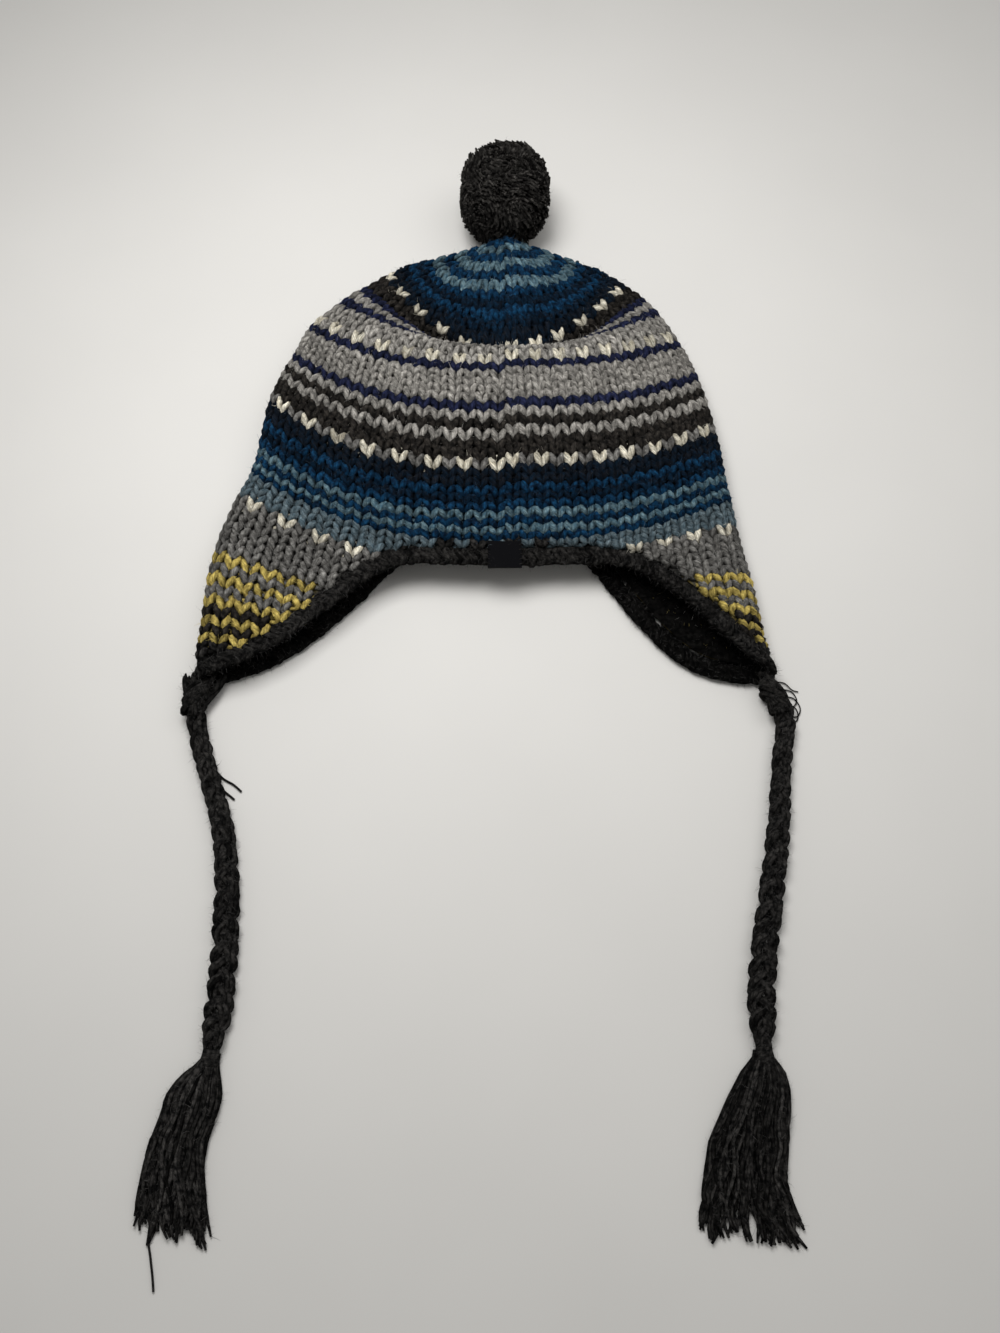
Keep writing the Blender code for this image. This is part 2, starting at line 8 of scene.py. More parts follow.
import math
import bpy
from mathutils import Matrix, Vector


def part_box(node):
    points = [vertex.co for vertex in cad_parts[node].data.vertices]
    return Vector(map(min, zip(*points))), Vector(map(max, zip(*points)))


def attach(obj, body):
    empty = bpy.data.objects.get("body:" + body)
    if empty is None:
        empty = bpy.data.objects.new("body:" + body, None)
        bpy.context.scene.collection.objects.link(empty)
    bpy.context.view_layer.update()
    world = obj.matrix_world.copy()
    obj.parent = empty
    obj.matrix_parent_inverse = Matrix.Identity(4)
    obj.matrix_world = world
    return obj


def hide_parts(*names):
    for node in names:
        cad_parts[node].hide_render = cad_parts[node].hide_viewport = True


bl_info = {
    "name": "Striped Ear-flap Hat",
    "version": (1, 0, 0),
    "blender": (4, 5, 0),
    "location": "View3D > Sidebar > Hat",
    "description": "Dresses the frame of a knitted ear-flap hat with yarn, pompom and ties",
    "category": "Object",
}

from collections import namedtuple

import bmesh
import bpy
import numpy as np
from mathutils import Vector
from mathutils.bvhtree import BVHTree

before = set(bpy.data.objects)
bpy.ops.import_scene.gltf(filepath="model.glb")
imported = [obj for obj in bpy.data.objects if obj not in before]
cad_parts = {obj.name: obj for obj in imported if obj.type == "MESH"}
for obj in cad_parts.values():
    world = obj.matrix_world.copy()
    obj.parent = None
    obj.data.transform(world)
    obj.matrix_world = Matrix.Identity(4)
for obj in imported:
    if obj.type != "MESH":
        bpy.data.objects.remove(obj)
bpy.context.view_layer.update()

# Form of the knitted wall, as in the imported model
HALF_WIDTH = 0.125
CROWN_LENGTH = 0.200
LOFT = 0.037
FOLD_HEIGHT = 0.010
FOLD_LEAST = 0.35
KNIT_WALL = 0.0045
COLUMNS = 64
QUARTER = COLUMNS / 4
HEM_ROW = 42
LAST_ROW = 62
UNDER_LENGTH = 0.180
CROWN_LIFT = 0.007
CROWN_LIFT_ROWS = 6.0
SECTION_STEPS = 64
LEAST_FLATNESS = 2.3
FOLD_RADIUS = 0.0065
TRIM_GAP = 0.0009
TRIM_WIDTH = 0.0082
TRIM_WALL = 0.0060
NORMAL_STEP = 0.05
HEM_STEP = 0.2

# For every piece: the way up, the share that spreads yarns evenly, a full turn for random
# phases, the least height over the table, and how near points are that merge
UP = np.array((0.0, 0.0, 1.0))
GOLDEN = (math.sqrt(5) - 1) / 2
ROUND_TURN = 6.28
FLOOR_GAP = 0.0001
MERGE_DISTANCE = 0.000001


def table(columns, *rows):
    """Rows of a table, whose values are read by the names of their columns."""
    Row = namedtuple("Row", columns)
    return tuple(Row(*row) for row in rows)


# Rows of the body: half widths as shares of HALF_WIDTH, places down from the crown as
# shares of CROWN_LENGTH, heights as shares of LOFT. Sag is the power of the curve
# that a row makes between fold and middle, and dip is the crease below the crown.
ROUNDS = table(
    "row left right left_down right_down left_mid right_mid sag rise dip",
    (0.0, 0.030, 0.030, 0.005, 0.005, 0.015, 0.015, 2.0, 0.56, 0.00),
    (3.0, 0.165, 0.175, 0.016, 0.020, 0.132, 0.132, 3.0, 0.82, 0.00),
    (6.0, 0.315, 0.324, 0.045, 0.060, 0.252, 0.252, 3.0, 0.97, 0.00),
    (9.0, 0.425, 0.440, 0.070, 0.098, 0.350, 0.350, 2.4, 1.00, 0.03),
    (12.0, 0.529, 0.545, 0.108, 0.150, 0.445, 0.445, 1.7, 0.98, 0.20),
    (14.0, 0.605, 0.602, 0.143, 0.186, 0.455, 0.455, 1.7, 0.98, 0.48),
    (16.0, 0.688, 0.655, 0.182, 0.227, 0.443, 0.443, 1.9, 0.98, 0.26),
    (18.0, 0.768, 0.706, 0.228, 0.281, 0.446, 0.446, 2.2, 0.99, 0.02),
    (20.0, 0.834, 0.750, 0.270, 0.335, 0.492, 0.492, 2.6, 1.00, 0.00),
    (26.0, 0.920, 0.828, 0.386, 0.464, 0.634, 0.634, 2.7, 1.00, 0.00),
    (32.0, 0.998, 0.882, 0.509, 0.626, 0.795, 0.795, 2.8, 0.92, 0.00),
    (38.0, 1.035, 0.910, 0.681, 0.770, 0.918, 0.918, 2.8, 0.72, 0.00),
    (42.0, 1.066, 0.930, 0.758, 0.850, 0.985, 0.985, 2.5, 0.58, 0.00),
    (45.0, 1.111, 0.945, 0.822, 0.931, 1.055, 1.010, 2.2, 0.53, 0.00),
    (51.0, 1.182, 0.985, 0.996, 1.076, 1.175, 1.090, 2.0, 0.52, 0.00),
    (57.0, 1.198, 1.010, 1.173, 1.215, 1.275, 1.130, 2.0, 0.52, 0.00),
    (62.0, 1.206, 1.034, 1.280, 1.272, 1.360, 1.200, 2.0, 0.48, 0.00),
)

# Edge of the ear flaps: half widths in stitches from the fold, on both layers
EDGES = table(
    "row left_top left_under right_top right_under",
    (62.0, 0.0, 0.0, 0.0, 0.0),
    (61.0, 0.9, 1.3, 0.4, 1.4),
    (59.0, 2.3, 3.2, 1.0, 3.6),
    (55.0, 4.5, 5.6, 2.6, 5.8),
    (51.0, 6.2, 7.4, 4.3, 7.4),
    (46.0, 7.9, 9.0, 6.9, 9.1),
    (43.0, 9.7, 10.6, 9.2, 10.5),
    (42.0, 12.6, 12.6, 11.8, 12.4),
)

# Routes of the ties as laid down, as places measured from the ends of the flaps
TIE_BENDS_LEFT = (
    (-0.0005, -0.0104), (0.0002, -0.0164), (0.0018, -0.0239), (0.0054, -0.0345),
    (0.0101, -0.0478), (0.0149, -0.0603), (0.0191, -0.0749), (0.0221, -0.0921),
    (0.0236, -0.1101), (0.0243, -0.1276), (0.0242, -0.1447), (0.0233, -0.1589),
    (0.0223, -0.1679),
)
TIE_BENDS_RIGHT = (
    (0.0062, -0.0123), (0.0073, -0.0183), (0.0067, -0.0257), (0.0041, -0.0387),
    (0.0017, -0.0547), (-0.0005, -0.0707), (-0.0040, -0.0887), (-0.0087, -0.1107),
    (-0.0125, -0.1277), (-0.0152, -0.1447), (-0.0162, -0.1577), (-0.0163, -0.1687),
)
FLAP_END_REACH = 3.0
FLAP_END_PARTS = 12

# Single yarns that lie loose, as places measured from the ends of the flaps too: ends
# beside each tie, and last on the left a long yarn of the tassel
LOOSE_YARNS_LEFT = (
    ((0.0072, -0.0390), (0.0109, -0.0419), (0.0151, -0.0459), (0.0202, -0.0488), (0.0243, -0.0522)),
    ((0.0128, -0.0490), (0.0157, -0.0517), (0.0188, -0.0541), (0.0213, -0.0561)),
    ((0.0060, -0.2200), (0.0030, -0.2320), (0.0023, -0.2407), (0.0040, -0.2479), (0.0057, -0.2550),
     (0.0067, -0.2603)),
)
LOOSE_YARNS_RIGHT = (
    ((0.0070, -0.0020), (0.0130, -0.0035), (0.0153, -0.0078), (0.0135, -0.0112), (0.0108, -0.0098)),
    ((0.0076, -0.0060), (0.0137, -0.0070), (0.0166, -0.0118), (0.0153, -0.0160), (0.0124, -0.0168)),
    ((0.0065, 0.0016), (0.0103, 0.0008), (0.0135, -0.0026), (0.0165, -0.0036)),
    ((0.0080, -0.0090), (0.0143, -0.0122), (0.0149, -0.0176), (0.0122, -0.0202)),
)

# Width of a tie along its length, both as shares
BRAID_WIDTHS = table(
    "along width",
    (0.00, 1.05), (0.20, 0.96), (0.50, 1.12), (0.80, 1.24),
    (0.94, 1.18), (1.00, 0.72),
)

# Outline of a tassel: both sides of the heading and the height, as shares of its length
SPREAD_COLUMNS = "along left right height"
TASSEL_SPREAD_LEFT = table(
    SPREAD_COLUMNS,
    (0.00, -0.045, 0.045, 0.095), (0.07, -0.060, 0.045, 0.095),
    (0.14, -0.130, 0.070, 0.125), (0.24, -0.198, 0.100, 0.145),
    (0.39, -0.224, 0.085, 0.140), (0.49, -0.245, 0.070, 0.125),
    (0.63, -0.259, 0.080, 0.105), (0.75, -0.262, 0.115, 0.090),
    (0.90, -0.262, 0.170, 0.065), (1.00, -0.255, 0.215, 0.050),
)
TASSEL_SPREAD_RIGHT = table(
    SPREAD_COLUMNS,
    (0.00, -0.045, 0.045, 0.095), (0.06, -0.060, 0.060, 0.095),
    (0.13, -0.125, 0.115, 0.120), (0.20, -0.170, 0.130, 0.140),
    (0.28, -0.220, 0.136, 0.140), (0.41, -0.290, 0.122, 0.125),
    (0.49, -0.335, 0.110, 0.110), (0.59, -0.360, 0.095, 0.100),
    (0.72, -0.390, 0.090, 0.085), (0.82, -0.410, 0.115, 0.070),
    (1.00, -0.450, 0.200, 0.050),
)

# Yarns of the rows, each down to a last row, and the rows whose every second stitch is
# of another yarn, of what size, and by how many stitches it shifts on the left
BANDS = table(
    "last yarn",
    (1, "blue"), (2, "steel"), (3, "blue"), (4, "steel"), (5, "blue"),
    (6, "steel"), (7, "blue"), (8, "blue_night"), (9, "blue"),
    (10, "blue_night"), (12, "midnight"), (14, "bark"), (15, "navy"), (16, "ash"),
    (17, "navy"), (20, "ash"), (21, "navy"), (25, "ash"), (26, "navy"),
    (27, "ash"), (28, "bark"), (29, "ash"), (31, "bark"), (32, "stone"),
    (34, "midnight"), (35, "blue"), (36, "blue_night"), (37, "blue"),
    (38, "steel"), (39, "blue"), (40, "steel"), (41, "blue"),
    (44, "steel_grey"), (50, "stone"), (51, "yellow"), (52, "stone"),
    (53, "yellow"), (54, "stone"), (55, "yellow"), (56, "bark"),
    (57, "yellow"), (58, "bark"), (59, "yellow"), (62, "charcoal"),
)
MOTIFS = table(
    "row yarn size left_shift",
    (12, "cream", 1.15, 0), (20, "cream", 1.15, 0),
    (32, "cream", 1.18, 1), (45, "cream", 1.30, 1),
)


def from_screen(red, green, blue):
    """Linear colour from screen values of 0 to 255."""
    shares = [value / 255 for value in (red, green, blue)]
    return tuple(s / 12.92 if s <= 0.04045 else ((s + 0.055) / 1.055) ** 2.4 for s in shares)


def length_prop(name, description, default):
    return bpy.props.FloatProperty(
        name=name, description=description, default=default, unit='LENGTH', precision=5)


def share_prop(name, description, default):
    return bpy.props.FloatProperty(name=name, description=description, default=default)


def count_prop(name, description, default):
    return bpy.props.IntProperty(name=name, description=description, default=default, min=1)


def colour_prop(name, description, screen):
    return bpy.props.FloatVectorProperty(
        name=name, description=description, default=from_screen(*screen),
        subtype='COLOR', size=3, min=0.0, max=1.0)


class HatKnitSizes(bpy.types.PropertyGroup):
    """Sizes of the knitting and of its crocheted edge."""
    stitch_width: length_prop("Stitch width", "Width of a stitch in the crown", 0.0072)
    yarn_radius: length_prop("Yarn radius", "Radius of the knitting yarn", 0.00166)
    loop_depth: length_prop("Loop depth", "How far a loop weaves in and out of the wall", 0.00100)
    loop_sway: share_prop("Loop sway", "Slant of a leg, as a share of the stitch width", 0.235)
    loop_reach: share_prop("Loop reach", "Half height of a loop, as a share of a row", 0.80)
    loop_swell: share_prop("Loop swell", "How much fatter a leg is than the loop's head", 0.26)
    loop_points: count_prop("Loop points", "Points of the yarn in each stitch", 12)
    jog: share_prop("Jog", "Step of a round at the centre back, in rows", 0.50)
    unevenness: share_prop("Unevenness", "How unlike the hand-made stitches are", 0.07)
    # Backing: a sheet inside the wall, painted dark as the shade between and behind the stitches
    backing_wall: length_prop("Backing wall", "Thickness of the felted inside", 0.0012)
    backing_depth: length_prop("Backing depth", "How far in from the wall's middle it lies", 0.0018)
    trim_yarn_radius: length_prop("Edge yarn radius", "Radius of the crochet yarn", 0.00125)
    trim_stitch: length_prop("Edge stitch", "Width of a crochet stitch", 0.0048)


class HatFibreSizes(bpy.types.PropertyGroup):
    """Loose fibres that stand off the yarn."""
    length: length_prop("Fibre length", "Length of a loose fibre", 0.0040)
    width: length_prop("Fibre width", "Width of a loose fibre", 0.00013)
    density: share_prop("Fibre density", "Fibres on a square metre of yarn", 58000.0)


class HatPompomSizes(bpy.types.PropertyGroup):
    """Sizes of the pompom."""
    strands: count_prop("Strands", "Cut yarn ends that show", 3900)
    strand_length: length_prop("Strand length", "Length of yarn that shows", 0.0085)
    strand_radius: length_prop("Strand radius", "Radius of a cut strand", 0.00096)
    lean: share_prop("Lean", "How far the locks of strands lean over", 1.0)


class HatTieSizes(bpy.types.PropertyGroup):
    """Sizes of the braided ties and their tassels."""
    braid_width: length_prop("Braid width", "Width of a tie", 0.0105)
    braid_height: length_prop("Braid height", "Height of the braid's middle", 0.0050)
    braid_period: length_prop("Braid period", "Length in which a strand crosses and returns", 0.0235)
    yarn_radius: length_prop("Tie yarn radius", "Radius of one of the braid's yarns", 0.00132)
    wrap_length: length_prop("Wrap length", "Length of the winding above a tassel", 0.0070)
    wrap_diameter: length_prop("Wrap diameter", "Thickness of that winding", 0.0078)
    tassel_length: length_prop("Tassel length", "Length of a tassel", 0.0680)
    strand_radius: length_prop("Strand radius", "Radius of a tassel's strand", 0.00092)
    strands: count_prop("Strands", "Yarns of a tassel", 110)
    locks: count_prop("Locks", "Locks that the yarns of a tassel lie in", 9)


# Yarns, each with its screen colour and that of its fleck
YARNS = table(
    "name description colour fleck",
    ("blue", "Blue yarn", (20, 62, 94), (12, 28, 46)),
    ("blue_night", "Darker blue yarn", (14, 38, 58), (13, 18, 26)),
    ("steel", "Light steel blue yarn", (108, 132, 140), (60, 86, 100)),
    ("steel_grey", "Grey blue yarn of the flaps", (108, 122, 128), (72, 88, 96)),
    ("midnight", "Dark navy yarn", (24, 27, 33), (11, 25, 38)),
    ("navy", "Navy yarn", (40, 45, 74), (22, 26, 42)),
    ("ash", "Light grey yarn", (172, 168, 161), (116, 113, 108)),
    ("cream", "Undyed yarn", (232, 226, 208), (186, 178, 158)),
    ("stone", "Middle grey yarn", (134, 132, 128), (86, 84, 81)),
    ("bark", "Brown charcoal yarn", (58, 54, 50), (22, 21, 20)),
    ("yellow", "Yellow yarn", (214, 192, 108), (160, 140, 74)),
    ("charcoal", "Charcoal yarn of edge and ties", (62, 60, 58), (16, 16, 16)),
    ("smoke", "Pompom yarn", (92, 89, 85), (34, 32, 31)),
)


class HatColours(bpy.types.PropertyGroup):
    """Colours of label and table, and of each heathered yarn and its fleck."""
    label: colour_prop("Label", "Weave of the label", (10, 10, 12))
    floor: colour_prop("Floor", "Table top", (216, 214, 210))


def yarn_props():
    """Properties for the colour of each yarn and for that of its fleck."""
    for yarn in YARNS:
        title = yarn.name.replace("_", " ").capitalize()
        yield yarn.name, colour_prop(title, yarn.description, yarn.colour)
        yield yarn.name + "_fleck", colour_prop(
            title + " fleck", f"Fleck of the {title.lower()} yarn", yarn.fleck)


HatColours.__annotations__.update(yarn_props())


class HatStageSizes(bpy.types.PropertyGroup):
    """Camera and lights."""
    elevation: bpy.props.FloatProperty(
        name="Elevation", description="Height of the camera's view over the table",
        default=math.radians(70.0), subtype='ANGLE')
    distance: length_prop("Distance", "Camera to the middle of its view", 0.503)
    view_across: length_prop("View across", "Middle of the view, across", 0.00715)
    view_along: length_prop("View along", "Middle of the view, along", -0.1421)
    lens: bpy.props.FloatProperty(
        name="Lens", description="Focal length on a 36 mm film, in millimetres", default=27.03)
    key_power: bpy.props.FloatProperty(
        name="Key light", description="Power of the main light", default=2.9, subtype='POWER')
    fill_power: bpy.props.FloatProperty(
        name="Fill light", description="Power of the fill light", default=1.6, subtype='POWER')
    sky: share_prop("Sky", "Strength of the even light from all round", 0.27)


class Socket:
    """A node's output that takes part in Python expressions."""

    def __init__(self, maker, output):
        self.maker = maker
        self.output = output

    def join(self, operation, first, second):
        pair = [value for value in (first, second) if isinstance(value, Socket)]
        if any(value.output.type == 'VECTOR' for value in pair):
            if operation == 'MULTIPLY':
                vector, number = (first, second) if first.output.type == 'VECTOR' else (second, first)
                return self.maker.node("ShaderNodeVectorMath", {"operation": 'SCALE'},
                                       {"Vector": vector, "Scale": number})["Vector"]
            return self.maker.node("ShaderNodeVectorMath", {"operation": operation},
                                   {0: first, 1: second})["Vector"]
        return self.maker.node("ShaderNodeMath", {"operation": operation},
                               {0: first, 1: second})["Value"]

    def __add__(self, other):
        return self.join('ADD', self, other)

    def __radd__(self, other):
        return self.join('ADD', other, self)

    def __sub__(self, other):
        return self.join('SUBTRACT', self, other)

    def __rsub__(self, other):
        return self.join('SUBTRACT', other, self)

    def __mul__(self, other):
        return self.join('MULTIPLY', self, other)

    def __rmul__(self, other):
        return self.join('MULTIPLY', self, other)

    def __truediv__(self, other):
        return self.join('DIVIDE', self, other)

    def __pow__(self, other):
        return self.join('POWER', self, other)

    def function(self, operation):
        return self.maker.node("ShaderNodeMath", {"operation": operation}, {0: self})["Value"]


class Node:
    """A new node, whose outputs are read by name or number."""

    def __init__(self, maker, node):
        self.maker = maker
        self.node = node

    def __getitem__(self, key):
        return Socket(self.maker, Maker.pick(self.node.outputs, key))


class Maker:
    """Adds nodes to a tree of any kind."""

    def __init__(self, tree):
        self.tree = tree

    @staticmethod
    def pick(sockets, key):
        if isinstance(key, int):
            return sockets[key]
        for socket in sockets:
            if socket.identifier == key or (socket.name == key and socket.enabled):
                return socket
        raise KeyError(f"no socket {key} in {[socket.identifier for socket in sockets]}")

    def node(self, kind, settings=None, inputs=None):
        node = self.tree.nodes.new(kind)
        for name, value in (settings or {}).items():
            setattr(node, name, value)
        for key, value in (inputs or {}).items():
            socket = self.pick(node.inputs, key)
            if isinstance(value, Socket):
                self.tree.links.new(value.output, socket)
            else:
                socket.default_value = value
        return Node(self, node)

    def position(self):
        return self.node("GeometryNodeInputPosition")["Position"]

    def attribute(self, name, kind='FLOAT'):
        """Named attribute in a geometry tree."""
        return self.node("GeometryNodeInputNamedAttribute", {"data_type": kind},
                         {"Name": name})["Attribute"]

    def store(self, geometry, name, kind, value):
        """Geometry with a value kept on its points under a name."""
        return self.node("GeometryNodeStoreNamedAttribute", {"data_type": kind, "domain": 'POINT'}, {
            "Geometry": geometry, "Name": name, "Value": value})["Geometry"]

    def moved(self, geometry, **place):
        """Geometry at a Position, or moved by an Offset."""
        return self.node("GeometryNodeSetPosition", {}, {"Geometry": geometry, **place})["Geometry"]

    def parts(self, vector):
        return self.node("ShaderNodeSeparateXYZ", {}, {0: vector})

    def vector(self, x, y, z):
        return self.node("ShaderNodeCombineXYZ", {}, {"X": x, "Y": y, "Z": z})["Vector"]

    def random(self, low, high, seed):
        """A number for each point between two limits."""
        return self.node("FunctionNodeRandomValue", {"data_type": 'FLOAT'}, {
            "Min_001": low, "Max_001": high, "Seed": seed})["Value_001"]

    def turned(self, rotation, angles):
        """A rotation turned further by angles about its own axes."""
        by = self.node("FunctionNodeEulerToRotation", {}, {"Euler": angles})["Rotation"]
        return self.node("FunctionNodeRotateRotation", {"rotation_space": 'LOCAL'}, {
            "Rotation": rotation, "Rotate By": by})["Rotation"]

    def placed(self, points, item, rotation, scale):
        """An item set on every point."""
        return self.node("GeometryNodeInstanceOnPoints", {}, {
            "Points": points, "Instance": item, "Rotation": rotation, "Scale": scale})["Instances"]

    def painted(self, name, output):
        """Named attribute in a material."""
        return self.node("ShaderNodeAttribute", {"attribute_name": name})[output]

    def object_place(self):
        return self.node("ShaderNodeTexCoord")["Object"]

    def noise(self, place, scale, **inputs):
        return self.node("ShaderNodeTexNoise", {}, {"Vector": place, "Scale": scale, **inputs})["Fac"]

    def ramp(self, value, limits):
        """Level that runs from one to another while a value runs from low to high."""
        return self.node("ShaderNodeMapRange", {"clamp": True}, {
            "Value": value, "From Min": limits.low, "From Max": limits.high,
            "To Min": limits.low_level, "To Max": limits.high_level})["Result"]

    def mix(self, first, second, share, blend='MIX'):
        """Colour from two colours."""
        return self.node("ShaderNodeMix", {"data_type": 'RGBA', "blend_type": blend}, {
            "A_Color": first, "B_Color": second, "Factor_Float": share})["Result_Color"]


# Form of the hat


def value_at(table, field, place, key="row"):
    """A column of a table read where its key column has a value, on a smooth curve."""
    keys = np.array([getattr(line, key) for line in table])
    values = np.array([getattr(line, field) for line in table])
    rates = np.diff(values) / np.diff(keys)
    slopes = np.concatenate((rates[:1], 0.5 * (rates[1:] + rates[:-1]), rates[-1:]))
    i = np.clip(np.searchsorted(keys, place) - 1, 0, len(keys) - 2)
    span = keys[i + 1] - keys[i]
    s = (place - keys[i]) / span
    curve = (values[i] * (1 + 2 * s) * (1 - s) ** 2 + values[i + 1] * s * s * (3 - 2 * s)
             + span * slopes[i] * s * (1 - s) ** 2 + span * slopes[i + 1] * s * s * (s - 1))
    past = values[-1] + rates[-1] * (place - keys[-1])
    return np.where(place <= keys[0], values[0], np.where(place >= keys[-1], past, curve))


def section_points(half, rise, fold, share):
    """Places at shares of the length from the middle of one layer to its side fold."""
    flatness = np.maximum(LEAST_FLATNESS, 2 * half * FOLD_RADIUS / (rise - fold) ** 2)
    angle = 0.5 * math.pi * np.arange(SECTION_STEPS + 1) / SECTION_STEPS
    across = half[:, None] * np.sin(angle)[None, :] ** (2 / flatness[:, None])
    height = fold[:, None] + (rise - fold)[:, None] * np.maximum(np.cos(angle), 0.0)[None, :]
    steps = np.hypot(np.diff(across, axis=1), np.diff(height, axis=1))
    run = np.concatenate((np.zeros((len(half), 1)), np.cumsum(steps, axis=1)), axis=1)
    target = share * run[:, -1]
    i = np.clip((run < target[:, None]).sum(axis=1) - 1, 0, SECTION_STEPS - 1)
    line = np.arange(len(half))
    part = (target - run[line, i]) / np.maximum(steps[line, i], 1e-12)
    return (across[line, i] + part * (across[line, i + 1] - across[line, i]),
            height[line, i] + part * (height[line, i + 1] - height[line, i]))


def sides_of(column):
    """Whether columns are right of centre and on top, and their shares from middle to fold."""
    column = np.mod(column, COLUMNS)
    right = column < 2 * QUARTER
    share = np.where(right, column, COLUMNS - column) / QUARTER
    on_top = share <= 1.0
    return right, on_top, np.where(on_top, share, 2.0 - share)


def local_points(column, row):
    """Middle of the knitted wall at columns and rows, before it is moved into the frame."""
    right, on_top, share = sides_of(column)

    def by_side(field):
        return np.where(right, value_at(ROUNDS, "right" + field, row),
                        value_at(ROUNDS, "left" + field, row))

    half = HALF_WIDTH * by_side("")
    fold_down = CROWN_LENGTH * by_side("_down")
    rise = LOFT * value_at(ROUNDS, "rise", row)
    lift = CROWN_LIFT * np.maximum(0.0, 1 - row / CROWN_LIFT_ROWS) ** 2
    fold = KNIT_WALL / 2 + lift + FOLD_HEIGHT * (FOLD_LEAST + (1 - FOLD_LEAST) * rise / LOFT)
    level = np.where(on_top, rise, KNIT_WALL / 2 + lift)
    across, height = section_points(half, level, fold, share)
    dip = LOFT * value_at(ROUNDS, "dip", row) * (1 - share * share) ** 2
    height = height - np.where(on_top, dip, 0.0)
    middle_down = np.where(on_top, CROWN_LENGTH * by_side("_mid"), UNDER_LENGTH * row / HEM_ROW)
    down = fold_down + (middle_down - fold_down) * (1 - share ** value_at(ROUNDS, "sag", row))
    return np.stack((np.where(right, across, -across), -down, height), axis=1)


def hem_rows(column):
    """Last knitted rows in columns: the hem, or the slanting edge of an ear flap."""
    right, on_top, share = sides_of(column)
    from_fold = (1.0 - share) * QUARTER
    result = np.full(len(column), float(HEM_ROW))
    for side, is_side in (("left", ~right), ("right", right)):
        for layer, is_layer in (("top", on_top), ("under", ~on_top)):
            field = side + "_" + layer
            chosen = is_side & is_layer & (from_fold < getattr(EDGES[-1], field))
            result[chosen] = value_at(EDGES, "row", from_fold[chosen], field)
    return result


def wall_shift():
    """Move from the table's own place to the frame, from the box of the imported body."""
    columns, shares = np.meshgrid(np.linspace(0, COLUMNS, 257), np.linspace(0, 1, 64))
    columns = columns.ravel()
    points = local_points(columns, shares.ravel() * hem_rows(columns))
    low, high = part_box("knit_body")
    middle = np.array((low + high) / 2)
    shift = middle - (points.min(axis=0) + points.max(axis=0)) / 2
    return np.array((shift[0], shift[1], 0.0))


SHIFT = wall_shift()


def cloth(column, row):
    """Middle of the wall, its outward direction, one stitch across and one row down."""
    column = np.asarray(column, float)
    row = np.asarray(row, float)
    middle = local_points(column, row) + SHIFT
    across = (local_points(column + NORMAL_STEP, row)
              - local_points(column - NORMAL_STEP, row)) / (2 * NORMAL_STEP)
    down = (local_points(column, row + NORMAL_STEP)
            - local_points(column, row - NORMAL_STEP)) / (2 * NORMAL_STEP)
    face = unit(np.cross(down, across))
    return middle, face, across, down


def unit(vectors):
    return vectors / np.maximum(np.linalg.norm(vectors, axis=-1, keepdims=True), 1e-12)


def hem_frames(column):
    """Hem points with the directions out of the cloth's face and past its edge."""
    column = np.asarray(column, float)
    row = hem_rows(column)
    middle, face, _, _ = cloth(column, row)
    before = local_points(column - HEM_STEP, hem_rows(column - HEM_STEP))
    after = local_points(column + HEM_STEP, hem_rows(column + HEM_STEP))
    past = unit(np.cross(unit(after - before), face))
    inner = cloth(column, row - 1.0)[0]
    past = np.where(((middle - inner) * past).sum(axis=1)[:, None] < 0, -past, past)
    return middle, face, past


# Yarn and meshes


class Strands:
    """Yarns gathered for one piece, with the values that the yarn tree reads at each point."""

    def __init__(self):
        self.points = []
        self.edges = []
        self.values = {}
        self.count = 0

    def add(self, points, closed=False, **values):
        points = np.asarray(points, float)
        size = len(points)
        first = self.count
        self.points.append(points)
        self.edges += [(first + i, first + i + 1) for i in range(size - 1)]
        if closed:
            self.edges.append((first + size - 1, first))
        for name, value in values.items():
            value = np.asarray(value, float)
            width = value.shape[-1:] if value.ndim and value.shape[0] != size else value.shape[1:]
            self.values.setdefault(name, []).append(np.broadcast_to(value, (size, *width)))
        self.count += size

    def mesh(self, name):
        mesh = bpy.data.meshes.new(name)
        mesh.from_pydata(np.concatenate(self.points).tolist(), self.edges, [])
        for attribute, parts in self.values.items():
            write_attribute(mesh, attribute, np.concatenate(parts))
        return mesh


def write_attribute(mesh, name, values):
    """Stores numbers, vectors or colours on a mesh's points."""
    if values.ndim == 1:
        kind, key = 'FLOAT', "value"
    elif values.shape[1] == 4:
        kind, key = 'FLOAT_COLOR', "color"
    else:
        kind, key = 'FLOAT_VECTOR', "vector"
    attribute = mesh.attributes.new(name, kind, 'POINT')
    attribute.data.foreach_set(key, np.ascontiguousarray(values, np.float32).ravel())


def along_path(points):
    """Length run at each point."""
    steps = np.linalg.norm(np.diff(points, axis=0), axis=1)
    return np.concatenate(([0.0], np.cumsum(steps)))


def shown_object(name, mesh):
    item = bpy.data.objects.new(name, mesh)
    bpy.context.scene.collection.objects.link(item)
    return item


def settle(item):
    """Applies all modifiers, and leaves a plain mesh."""
    depsgraph = bpy.context.evaluated_depsgraph_get()
    mesh = bpy.data.meshes.new_from_object(item.evaluated_get(depsgraph))
    old = item.data
    item.modifiers.clear()
    item.data = mesh
    mesh.name = item.name
    bpy.data.meshes.remove(old)
    return item


def grow(item, tree, **inputs):
    """Runs a geometry tree on an object and leaves its result as a plain mesh."""
    modifier = item.modifiers.new(tree.name, 'NODES')
    modifier.node_group = tree
    for socket in tree.interface.items_tree:
        key = socket.name.lower().replace(" ", "_")
        if socket.in_out == 'INPUT' and key in inputs:
            modifier[socket.identifier] = inputs[key]
    return settle(item)


